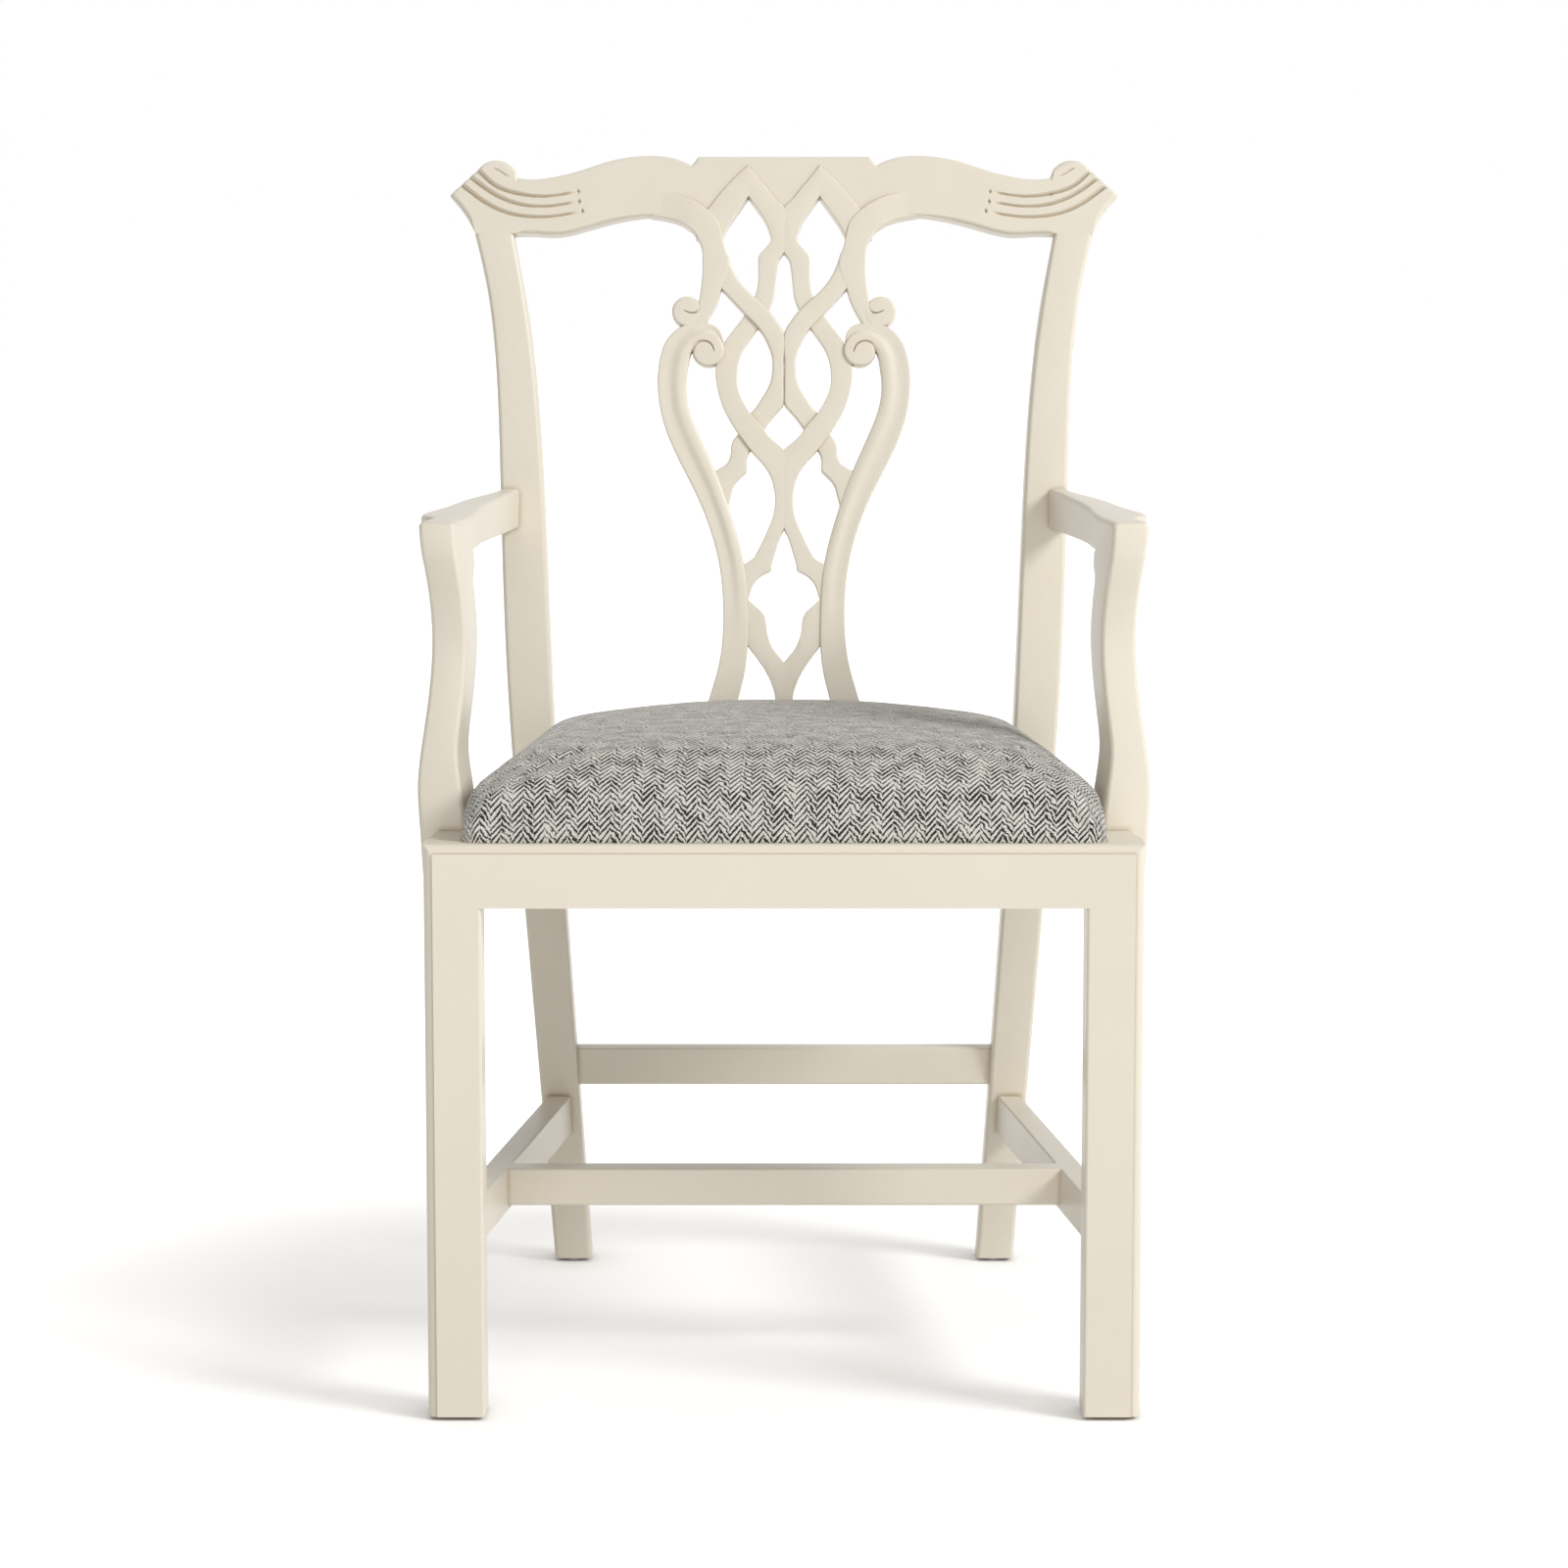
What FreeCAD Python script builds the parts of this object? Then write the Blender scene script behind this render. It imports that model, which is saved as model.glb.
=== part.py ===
import FreeCAD, Part
import math
import os

from FreeCAD import Placement, Rotation, Vector

# A painted armchair with a pierced splat and a drop-in seat, in millimetres.
# Z is up and the chair faces -Y. Left, where X is negative, and right are as seen from the front.
# The pieces are built with Y as the depth behind the front legs' front face, and centred when saved.

# Overall size
OVERALL_DEPTH = 576.0       # front face of the front legs to the heels of the rear legs
FRONT_WIDTH = 563.0         # over the front legs
FRONT_HALF = FRONT_WIDTH / 2

# Joints
FIT = 0.2                   # clearance round a tenon
MORTISE_RELIEF = 0.5        # space past the end of a tenon
TENON_LENGTH = 22.0
TENON_THICKNESS = 9.0
TENON_SHOULDER = 6.0        # height that a tenon stands in from the edge of its rail
LONG_EDGE = 40.0            # an edge longer than this runs the length of its piece
TOUCH = 1.0                 # points nearer than this are the same corner
SAMPLES = 240               # points along a curve that sections are taken from

# Front legs and the quirk-and-bead moulding on their outer corners and along the front rail
LEG_SIZE = 45.0
LEG_EDGE = 2.5              # rounding of the plain edges
BEAD_RADIUS = 6.0
QUIRK_WIDTH = 1.3
QUIRK_DEPTH = 1.6

# Foot glides
GLIDE_HEIGHT = 3.0
GLIDE_RADIUS = 12.0
GLIDE_NAIL_RADIUS = 1.5
GLIDE_NAIL_LENGTH = 14.0

# Seat rails
RAIL_TOP = 460.0
RAIL_HEIGHT = 50.0
RAIL_BOTTOM = RAIL_TOP - RAIL_HEIGHT
FRONT_RAIL_THICKNESS = 28.0
SIDE_RAIL_THICKNESS = 34.0  # narrower than the rear post, so that its end lands on the post's front
SIDE_RAIL_SETBACK = 2.0     # outer face behind the outer face of the front leg
SIDE_TENON_INSET = 12.0     # outer face to the middle of the side rail's tenon
SIDE_END_STEP = 1.0         # outer face inside the outer edge of the rear post
REAR_TENON_LENGTH = 13.0
REBATE_DEPTH = 14.0
LEDGE_Z = RAIL_TOP - REBATE_DEPTH
FRONT_LIP = 11.5
SIDE_LIP = 26.8
REAR_LEDGE = 14.0
REAR_LIP = 3.0              # between the seat's rebate and the knee of the posts

# Rear posts: the leg's line and the back's line would meet at the knee
KNEE_Y = 451.0
KNEE_Z = 455.0
KNEE_RADIUS = 500.0
BACK_RAKE = 9.0
BACK_LENGTH = 482.0         # knee to the top of the posts, along the rake
FOOT_DEPTH = 34.0
POST_DEPTH = 40.0
POST_TOP_DEPTH = 24.0
POST_FOOT_HALF = 208.5      # centre line of the chair to the outer edge
POST_SEAT_HALF = 238.5
POST_TOP_HALF = 272.5
POST_FOOT_WIDTH = 33.0
POST_SEAT_WIDTH = 38.0
POST_TOP_WIDTH = 34.0
POST_EDGE = 3.0
POST_SECTIONS = 16          # steps of its shaped length
POST_SPARE = 8.0            # length sawn off square to the rake
# Flare of the post below its top: drop, then the outer and the inner edge's step in from the top
POST_FLARE = [(356.0, 27.0, 32.3), (211.0, 22.2, 25.7), (105.0, 17.5, 17.0), (53.0, 11.4, 9.5),
              (-14.0, -4.0, -2.8)]

# Crest rail, splat and shoe
CREST_THICKNESS = 24.0
CREST_TENON = (16.0, 10.0, 20.0)      # width, thickness and length of the post's tenon
CREST_RELIEF = 1.6                    # arches above the field of the crest
SEAM_DROP = 12.0                      # seam of crest and splat below the top of the posts
CREST_TOP = 68.3                      # flat middle of the crest above the top of the posts
EAR_TIP = (22.6, 34.0)                # outward of and above the outer top corner of the post
EAR_SHOULDER = (-2.5, 57.4)
EAR_SCROLL = (-18.0, 65.3)
EAR_SCROLL_END = (-34.5, 57.4)
EAR_RISE = [(0.2, 0.28), (0.51, 0.62)]   # curve from the post to the tip, as shares of the tip
# Upper and lower edge of the crest: half distance from the centre line, height above the posts' top
CREST_UPPER = [(235.0, 49.3), (219.8, 48.3), (202.5, 50.5), (180.9, 55.7), (154.9, 64.2), (120.3, 69.2),
               (93.0, 65.8), (81.4, 60.5)]
CREST_LOWER = [(221.5, 0.3), (202.4, -0.6), (172.2, 5.8), (137.6, 14.4), (115.9, 15.0), (94.3, 10.5),
               (81.3, 1.8), (75.0, -8.0)]
CREST_NOTCH = 75.3
# Pointed arches: outer edge, and the two sides of the opening from the seam to its tip
ARCH_OUTER = [(65.8, 22.7), (47.6, 44.4), (30.3, 60.9), (16.4, 44.4), (0.0, 22.7)]
OPENING_OUTER = [(50.3, -SEAM_DROP), (51.5, -5.0), (40.7, 14.8), (30.3, 30.5)]
OPENING_INNER = [(30.3, 30.5), (19.9, 14.8), (10.4, -4.3)]
NECK_SEAM = (73.5, 50.3)              # outer and inner edge of the neck at the seam
WAIST_SEAM = 15.3                     # half width of the crossing at the seam
SHOULDER_EDGE = [(117.7, 35.7), (94.3, 34.8), (78.7, 29.6), (65.8, 22.7), (58.0, 12.2), (51.5, -5.0),
                 (50.3, -SEAM_DROP)]
SHOULDER_RELIEF = 2.6
SHOULDER_FADE = 26.0                  # length over which the shoulder strap rises out of the crest
SPLAT_THICKNESS = 15.0
SPLAT_TENON = 11.0                    # length of the tenons at both ends
SPLAT_TENON_THICKNESS = 6.0
# Straps of the left half of the splat: half distance from the centre line, height from the posts' top,
# width and level of the front at each point of the middle line
NECK = [(61.9, -10.0, 23.2, 2.6), (60.1, -21.0, 25.0, 2.5), (60.5, -34.0, 24.0, 2.3),
        (63.5, -47.0, 19.5, 2.0), (66.5, -60.0, 15.5, 1.7), (73.0, -73.0, 11.0, 1.4)]
C_SCROLL = [(70.0, -91.5, 15.0, 2.2), (80.0, -91.0, 21.0, 2.2), (91.5, -98.5, 24.0, 2.2),
            (97.3, -116.0, 26.0, 2.2), (97.7, -131.0, 26.0, 2.2), (94.6, -158.0, 24.5, 2.1),
            (84.7, -184.0, 25.0, 2.0), (68.0, -220.5, 22.6, 2.0), (53.1, -261.8, 20.4, 2.0),
            (45.3, -296.0, 21.2, 2.0), (42.7, -340.0, 21.4, 2.0), (45.7, -382.8, 23.7, 2.0),
            (53.3, -412.0, 24.7, 2.0)]
C_SCROLL_FOOT = (66.0, 26.0, 2.0)
WAIST_STRAP = [(58.0, -22.0, 15.0, 1.4), (52.0, -38.0, 16.0, 1.6), (42.0, -50.5, 17.0, 1.6),
               (29.0, -63.0, 17.0, 1.6), (16.7, -77.2, 17.5, 1.6), (7.0, -93.0, 17.0, 1.5),
               (2.0, -117.0, 17.0, 1.1), (5.0, -136.0, 17.0, 0.6), (12.5, -151.0, 17.3, 0.0),
               (22.5, -165.0, 17.6, -0.8), (35.0, -185.0, 18.0, -0.6), (41.0, -201.0, 17.5, 0.0),
               (51.0, -218.0, 19.0, 0.2), (60.0, -234.0, 19.0, 0.2)]
HEART_STRAP = [(21.0, -71.0, 16.0, -1.2), (29.0, -78.5, 16.4, -0.8), (43.8, -100.0, 17.8, 0.2),
               (49.7, -121.0, 20.0, 0.8), (49.2, -133.0, 19.3, 1.0), (41.8, -155.0, 19.0, 1.3),
               (32.0, -170.5, 19.5, 1.5), (19.8, -186.0, 20.0, 1.5), (8.7, -200.4, 20.0, 1.3),
               (1.5, -220.0, 15.0, 1.2), (0.0, -241.0, 15.6, 1.2), (6.0, -262.0, 14.5, 1.0),
               (14.6, -281.0, 14.8, 0.8), (25.0, -296.0, 16.0, 0.5), (40.0, -308.0, 18.0, 0.3)]
ARCH_TAIL = [(0.0, -2.0, 18.0, 1.6), (7.0, -15.0, 18.0, 1.6), (12.5, -28.0, 15.5, 1.3),
             (13.4, -42.0, 14.0, 0.5), (16.0, -55.0, 13.5, -0.4), (21.0, -68.0, 13.0, -1.0)]
FOOT_STRAP = [(44.0, -343.0, 40.0, 0.5), (31.0, -346.5, 36.0, 0.6), (21.5, -356.0, 23.0, 0.8),
              (14.5, -370.0, 17.0, 0.9), (7.0, -386.0, 16.5, 1.0), (1.5, -402.0, 14.5, 1.0),
              (0.0, -418.0, 14.0, 1.0)]
FOOT_STRAP_END = (0.0, 14.0, 1.0)
# Volutes: middle, radius and level
VOLUTES = [(84.7, -68.5, 13.5, 1.8), (66.4, -102.0, 14.8, 3.0)]
SPLAT_BASE = (80.0, 14.0)             # half width and height of the bar at the splat's foot
CENTRE_GROOVE = (-84.0, -151.0, 1.2)  # upper end, lower end and depth of the cut between the waist straps
SHOE_HEIGHT = 22.0
SHOE_DEPTH = 22.0
SHOE_HALF = 92.0
SHOE_SETBACK = 0.5                    # behind the knee of the posts
SHOE_COVE = 5.0
SHOE_COVE_BITE = 2.0                  # how far the cove takes the top's front edge back

# Arms and arm supports
ARM_TOP = 705.5
ARM_THICKNESS = 27.0
ARM_EDGE = 4.0
ARM_SECTIONS = 8                      # steps of the shaped length behind the cusp
ARM_FRONT_Y = 86.0
HAND_WIDTH = 30.0
HAND_LENGTH = 64.0
HAND_SKEW = 3.8                       # outer corner of the hand's end behind the inner one
HAND_HOLLOW = (1.6, 0.8)              # bow of the hand's outer and inner side
ARM_REAR_WIDTH = 17.0
ARM_SWELL = (2.5, 4.0)                # rise of the top and drop of the underside behind the hand
# Plan of the arm from the cusp behind the hand to the post: share of the run, then the outer and the
# inner edge outward of the straight line from the support's axis to the post's outer edge
ARM_PLAN = [(0.0, 11.5, -17.5), (0.022, 16.9, -15.5), (0.23, 21.0, -13.5), (0.56, 12.6, -13.9),
            (0.89, 0.6, -16.9), (1.0, 0.5, -ARM_REAR_WIDTH)]
ARM_TENON_HEIGHT = 15.0
SUPPORT_Y = 115.0
SUPPORT_DROP = 36.0                   # lap of the support down the outer face of the side rail
SUPPORT_EDGE = 2.5
SUPPORT_SECTIONS = 12                 # steps of its shaped height
SUPPORT_TENON = (9.0, 24.0, 12.0)     # across, along and down
# S-curve of the support: share of its height above the rail, outer edge and inner edge outward of its axis
SUPPORT_FRONT = [(-0.17, 14.0, -22.0), (0.03, 16.2, -21.4), (0.166, 17.8, -17.3), (0.276, 16.2, -14.1),
                 (0.395, 13.0, -15.7), (0.708, 8.0, -20.4), (0.956, 11.2, -17.3), (1.05, 12.4, -16.0)]
# The same from the side: share of its height, front edge and rear edge behind its axis
SUPPORT_SIDE = [(-0.17, -29.0, 23.0), (0.09, -30.0, 26.0), (0.25, -24.0, 31.0), (0.46, -15.0, 37.5),
                (0.67, -11.0, 41.0), (0.83, -17.0, 36.5), (0.9, -21.5, 33.0), (1.05, -29.5, 30.0)]
BRACKET_REACH = 12.0
BRACKET_HEIGHT = 9.0

# Stretchers
SIDE_STRETCHER = (21.0, 124.0, 160.0)     # thickness, bottom and top
MEDIAL_STRETCHER = (24.0, 129.0, 160.0)
MEDIAL_Y = 212.0
MEDIAL_TENON = 13.0
REAR_STRETCHER = (22.0, 170.0, 203.5)
REAR_STRETCHER_SETBACK = 7.0              # behind the front face of the rear legs
REAR_STRETCHER_TENON = 16.0
STRETCHER_EDGE = 2.0

# Corner blocks and screws
BLOCK_REACH = 62.0
BLOCK_HEIGHT = 26.0
BLOCK_Z = RAIL_BOTTOM + 3.0
SCREW_RADIUS = 2.0
SCREW_HEAD_RADIUS = 4.0
SCREW_HEAD_HEIGHT = 3.0
SCREW_FIT = 0.15
SCREW_ACCESS = 45.0                       # bore for the driver, back from the head
BLOCK_SCREW_LENGTH = 38.0
BLOCK_SCREW_ALONG = 34.0                  # from the inner corner of the block along each rail
BLOCK_SCREW_HEAD = 18.6                   # the head's face off the rail
SUPPORT_SCREW_LENGTH = 42.0
SUPPORT_SCREW_SPREAD = 15.0
SUPPORT_SCREW_DROP = 20.0                 # below the rail's top

# Drop-in seat
SEAT_GAP = 1.5              # all round, between the seat and the rails
SEAT_CORNER = 20.0
SEAT_DRAW_IN = 3.0          # fabric pulled in at the rail's top
COVER_THICKNESS = 1.6
HEM_WIDTH = 25.0
SOFT_GAP = 0.4              # between the fabric and what it covers
SEAT_RAIL_WIDTH = 55.0
SEAT_RAIL_THICKNESS = 18.0
WEB_WIDTH = 50.0
WEB_THICKNESS = 1.5
WEB_COUNT = 3
WEB_SPACING = 105.0
WEB_MARGIN = 14.0           # strap's end to the edge of the loose frame
DUST_THICKNESS = 0.8
DUST_INSET = 20.0
DUST_CORNER = 66.0
CORNER_PANELS = 6           # flat panels that the cushion goes round each corner in
# Crown of the cushion: height above the rail's top, inset from the rebate and corner radius
CROWN = [(22.0, -1.0, 28.0), (41.0, 7.0, 40.0), (56.0, 25.0, 56.0), (68.0, 55.0, 72.0),
         (76.5, 97.0, 84.0), (81.5, 148.0, 68.0)]


# Small geometry helpers

def box(x0, x1, y0, y1, z0, z1):
    return Part.makeBox(x1 - x0, y1 - y0, z1 - z0, Vector(x0, y0, z0))


def grown_box(x0, x1, y0, y1, z0, z1, by):
    return box(x0 - by, x1 + by, y0 - by, y1 + by, z0 - by, z1 + by)


def line(a, b):
    return Part.LineSegment(a, b).toShape()


def flat_face(points):
    return Part.Face(Part.makePolygon(points + [points[0]]))


def polygon_prism(points, direction):
    return flat_face(points).extrude(direction)


def spline(points):
    curve = Part.BSplineCurve()
    curve.interpolate(points)
    return curve


def samples(shape):
    """Points close together along an edge or a wire."""
    return shape.discretize(Number=SAMPLES)


def bent_edges(start, corner, end, radius):
    """Straight, arc and straight: the corner between start and end rounded off."""
    toward_start = (start - corner).normalize()
    toward_end = (end - corner).normalize()
    half_angle = toward_start.getAngle(toward_end) / 2
    reach = radius / math.tan(half_angle)
    first = corner + toward_start * reach
    last = corner + toward_end * reach
    bisector = (toward_start + toward_end).normalize()
    middle = corner + bisector * (radius / math.sin(half_angle) - radius)
    return [line(start, first), Part.Arc(first, middle, last).toShape(), line(last, end)]


def rounded_ring(corners, radii):
    """Closed wire round some corners, each rounded off by its radius."""
    count = len(corners)
    bends = [bent_edges(corners[i - 1], corners[i], corners[(i + 1) % count], radii[i]) for i in range(count)]
    edges = []
    for i in range(count):
        edges.append(bends[i][1])
        edges.append(line(bends[i][2].Vertexes[0].Point, bends[(i + 1) % count][0].Vertexes[1].Point))
    return Part.Wire(edges)


def sewn(faces):
    """Solid inside faces that meet all round."""
    shell = Part.Shell(faces)
    shell.sewShape()
    solid = Part.Solid(shell)
    if solid.Volume < 0:
        solid.reverse()
    return solid


def panelled(rings):
    """Solid of flat panels between level rings of points, whose sides are parallel from ring to ring."""
    faces = [flat_face(rings[0]), flat_face(rings[-1])]
    for low, high in zip(rings, rings[1:]):
        for i in range(len(low)):
            faces.append(flat_face([low[i - 1], low[i], high[i], high[i - 1]]))
    return sewn(faces)


def at_height(points, z):
    """Point at a height on a polyline that rises."""
    for low, high in zip(points, points[1:]):
        if low.z <= z <= high.z:
            return low + (high - low) * ((z - low.z) / (high.z - low.z))
    raise ValueError("nothing at that height")


def shaped_upright(outer, inner, fore, rear, z0, z1, steps, radius):
    """Upright whose rounded section follows two edges seen from the front and two seen from the side."""
    sections = []
    for step in range(steps + 1):
        z = z0 + (z1 - z0) * step / steps
        x_outer, x_inner = at_height(outer, z).x, at_height(inner, z).x
        y_fore, y_rear = at_height(fore, z).y, at_height(rear, z).y
        corners = [Vector(x_outer, y_fore, z), Vector(x_inner, y_fore, z),
                   Vector(x_inner, y_rear, z), Vector(x_outer, y_rear, z)]
        sections.append(rounded_ring(corners, [radius] * len(corners)))
    return Part.makeLoft(sections, True, True)


def long_edges(shape, axis, least):
    """Edges that run at least that far along X, Y or Z (axis 0, 1 or 2)."""
    def extent(edge):
        bound = edge.BoundBox
        return (bound.XLength, bound.YLength, bound.ZLength)[axis]
    return [edge for edge in shape.Edges if extent(edge) > least]


def mirrored(shape):
    return shape.mirror(Vector(0, 0, 0), Vector(1, 0, 0))


def plan_bar(start, end, thickness, z0, z1):
    """Bar along a line in plan, its ends parallel to X; start and end are (x, y) on its middle."""
    run = math.hypot(end[0] - start[0], end[1] - start[1])
    half = 0.5 * thickness * run / abs(end[1] - start[1])
    corners = [Vector(start[0] - half, start[1], z0), Vector(start[0] + half, start[1], z0),
               Vector(end[0] + half, end[1], z0), Vector(end[0] - half, end[1], z0)]
    return polygon_prism(corners, Vector(0, 0, z1 - z0))


def save(name, shape):
    """Put the middle of the chair's depth on the origin and write the piece."""
    placed = shape.copy()
    placed.translate(Vector(0, -OVERALL_DEPTH / 2, 0))
    if not placed.isValid():
        print("not valid:", name)
    placed.exportStep("parts/" + name + ".step")


def save_pair(name, left):
    save(name + "_left", left)
    save(name + "_right", mirrored(left))


# The tilted plane of the back: x across, s up the rake from the knee, n out of the front

RAKE = math.radians(BACK_RAKE)
BACK_PLACE = Placement(Vector(0, KNEE_Y, KNEE_Z), Rotation(Vector(1, 0, 0), 90 - BACK_RAKE))


def in_back(shape):
    """Move a shape from the plane of the back, where it lies in x, s and n, to its place."""
    placed = shape.copy()
    placed.Placement = BACK_PLACE.multiply(placed.Placement)
    return placed


# Rear posts

def post_outline(edge):
    """Points up the outer (0) or inner (1) edge of the left post as seen from the front."""
    foot = POST_FOOT_HALF - edge * POST_FOOT_WIDTH
    seat = POST_SEAT_HALF - edge * POST_SEAT_WIDTH
    top = POST_TOP_HALF - edge * POST_TOP_WIDTH
    top_z = KNEE_Z + BACK_LENGTH * math.cos(RAKE)
    points = [Vector(-foot, 0, 0), Vector(-(foot + seat) / 2, 0, RAIL_TOP / 2), Vector(-seat, 0, RAIL_TOP)]
    for step in POST_FLARE:
        points.append(Vector(-(top - step[1 + edge]), 0, top_z - step[0]))
    return points


def post_half(z, edge):
    """Distance from the chair's centre line to the post's outer (0) or inner (1) edge at a height."""
    return -at_height(samples(spline(post_outline(edge)).toShape()), z).x


def post_front(z):
    """Depth of the post's front face below the knee's arc."""
    foot = OVERALL_DEPTH - FOOT_DEPTH
    return foot + (KNEE_Y - foot) * (z - GLIDE_HEIGHT) / (KNEE_Z - GLIDE_HEIGHT)


def post_blank():
    """Left post: the outlines of its front and of its side, with rounded edges, sawn off square to the rake."""
    along = Vector(0, math.sin(RAKE), math.cos(RAKE))
    backward = Vector(0, math.cos(RAKE), -math.sin(RAKE))
    knee = Vector(0, KNEE_Y, KNEE_Z)
    end_front = knee + along * (BACK_LENGTH + 2 * POST_SPARE)
    end_rear = end_front + backward * POST_TOP_DEPTH
    toe = Vector(0, OVERALL_DEPTH - FOOT_DEPTH, GLIDE_HEIGHT)
    heel = Vector(0, OVERALL_DEPTH, GLIDE_HEIGHT)
    fore = samples(Part.Wire(bent_edges(toe, knee, end_front, KNEE_RADIUS)))
    rear = samples(Part.Wire(bent_edges(heel, knee + Vector(0, POST_DEPTH, 0), end_rear, KNEE_RADIUS)))
    outer, inner = [samples(spline(post_outline(edge)).toShape()) for edge in (0, 1)]
    top_z = KNEE_Z + BACK_LENGTH * math.cos(RAKE)
    blank = shaped_upright(outer, inner, fore, rear, GLIDE_HEIGHT, top_z + POST_SPARE, POST_SECTIONS, POST_EDGE)
    spare = box(-2 * POST_TOP_HALF, 0, BACK_LENGTH, BACK_LENGTH + 2 * POST_SPARE, -2 * POST_DEPTH, POST_DEPTH)
    return blank.cut(in_back(spare))


# Front legs

def moulding_waste(place, direction):
    """What the quirk and bead take off a corner; place(d, depth) is a point d in from the edge."""
    quirk = BEAD_RADIUS + QUIRK_WIDTH
    low = QUIRK_DEPTH + BEAD_RADIUS
    diagonal = BEAD_RADIUS * (1 - math.sqrt(0.5))
    corner = place(0, 0)
    points = [corner, place(quirk, 0), place(quirk, QUIRK_DEPTH), place(BEAD_RADIUS, QUIRK_DEPTH)]
    edges = [line(a, b) for a, b in zip(points, points[1:])]
    bead = Part.Arc(points[-1], place(diagonal, QUIRK_DEPTH + diagonal), place(0, low))
    edges += [bead.toShape(), line(place(0, low), corner)]
    return Part.Face(Part.Wire(edges)).extrude(direction)


def rail_moulding(x0, x1):
    """Waste of the moulding along the top edge of the front rail."""
    return moulding_waste(lambda d, depth: Vector(x0, depth, RAIL_TOP - d), Vector(x1 - x0, 0, 0))


def leg_moulding():
    """Waste of the moulding down the left leg's outer corner, mitred to the one along the rail."""
    upright = moulding_waste(lambda d, depth: Vector(-FRONT_HALF + d, depth, 0), Vector(0, 0, RAIL_TOP))
    mitre = polygon_prism([Vector(-FRONT_HALF, 0, RAIL_TOP), Vector(-FRONT_HALF + LEG_SIZE, 0, RAIL_TOP),
                           Vector(-FRONT_HALF + LEG_SIZE, 0, RAIL_TOP - LEG_SIZE)], Vector(0, LEG_SIZE, 0))
    across = rail_moulding(-FRONT_HALF, -FRONT_HALF + LEG_SIZE)
    return upright.cut(mitre).fuse(across.common(mitre))


def leg_blank():
    """Left front leg before its mortises."""
    x0 = -FRONT_HALF
    x1 = -FRONT_HALF + LEG_SIZE
    shaft = box(x0, x1, 0, LEG_SIZE, GLIDE_HEIGHT, RAIL_BOTTOM)
    outer_corner = [Vector(x0, 0, GLIDE_HEIGHT), Vector(x0, 0, RAIL_BOTTOM)]
    plain = [edge for edge in long_edges(shaft, 2, LONG_EDGE)
             if all(edge.Vertexes[0].Point.distanceToPoint(end) > TOUCH for end in outer_corner)]
    shaft = shaft.makeFillet(LEG_EDGE, plain)
    head = box(x0, x1, 0, LEG_SIZE, RAIL_BOTTOM, RAIL_TOP)
    return shaft.fuse(head).removeSplitter().cut(leg_moulding())


# Seat rails

SIDE_START_X = FRONT_HALF - SIDE_RAIL_SETBACK
SIDE_END_X = post_half((RAIL_TOP + RAIL_BOTTOM) / 2, 0) - SIDE_END_STEP
SIDE_SLOPE = (SIDE_START_X - SIDE_END_X) / (KNEE_Y - LEG_SIZE)
SIDE_ANGLE = math.atan(SIDE_SLOPE)


def side_x(y):
    """Distance from the centre line to the side rail's outer face at a depth."""
    return SIDE_START_X - SIDE_SLOPE * (y - LEG_SIZE)


def side_bar(inset, thickness, y0, y1, z0, z1):
    """Bar that runs with the left side rail, its middle inset from the rail's outer face."""
    return plan_bar((-side_x(y0) + inset, y0), (-side_x(y1) + inset, y1), thickness, z0, z1)


def side_rail_blank():
    across = SIDE_RAIL_THICKNESS * math.cos(SIDE_ANGLE)
    return side_bar(SIDE_RAIL_THICKNESS / 2, across, LEG_SIZE, KNEE_Y + POST_DEPTH / 2, RAIL_BOTTOM, RAIL_TOP)


def side_rail_tenons(by=0.0, relief=0.0):
    """Tenons at both ends of the side rail, as one bar through it."""
    return side_bar(SIDE_TENON_INSET, TENON_THICKNESS + 2 * by, LEG_SIZE - TENON_LENGTH - relief,
                    KNEE_Y + POST_DEPTH / 2 + relief + TENON_SHOULDER,
                    RAIL_BOTTOM + TENON_SHOULDER - by, LEDGE_Z - TENON_SHOULDER + by)


def front_rail_tenons(by=0.0, relief=0.0):
    end = FRONT_HALF - LEG_SIZE + TENON_LENGTH + relief
    y0 = QUIRK_DEPTH + BEAD_RADIUS
    return box(-end, end, y0 - by, y0 + TENON_THICKNESS + by,
               RAIL_BOTTOM + TENON_SHOULDER - by, LEDGE_Z - TENON_SHOULDER + by)


# The rounded knee stands back from the corner of the leg's and the back's line
KNEE_TURN = RAKE + math.atan((OVERALL_DEPTH - FOOT_DEPTH - KNEE_Y) / (KNEE_Z - GLIDE_HEIGHT))
KNEE_STAND_BACK = KNEE_RADIUS * (1 / math.cos(KNEE_TURN / 2) - 1)
REAR_RAIL_Y0 = KNEE_Y - REAR_LIP - REAR_LEDGE
REAR_TENON_Y0 = KNEE_Y + KNEE_STAND_BACK + TENON_SHOULDER
REAR_RAIL_Y1 = REAR_TENON_Y0 + TENON_THICKNESS + TENON_SHOULDER


def rear_rail_tenons(by=0.0, relief=0.0):
    end = post_half(RAIL_TOP, 1) + REAR_TENON_LENGTH + relief
    return box(-end, end, REAR_TENON_Y0 - by, REAR_TENON_Y0 + TENON_THICKNESS + by,
               RAIL_BOTTOM + TENON_SHOULDER - by, LEDGE_Z - TENON_SHOULDER + by)


def seat_outline(inset, corner, z):
    """Rounded trapezium of the seat, inset from the walls of the rebate."""
    y0 = FRONT_LIP + inset
    y1 = KNEE_Y - REAR_LIP - inset
    step = SIDE_LIP + inset / math.cos(SIDE_ANGLE)
    corners = [Vector(-side_x(y0) + step, y0, z), Vector(side_x(y0) - step, y0, z),
               Vector(side_x(y1) - step, y1, z), Vector(-side_x(y1) + step, y1, z)]
    return rounded_ring(corners, [corner] * len(corners))


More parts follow.
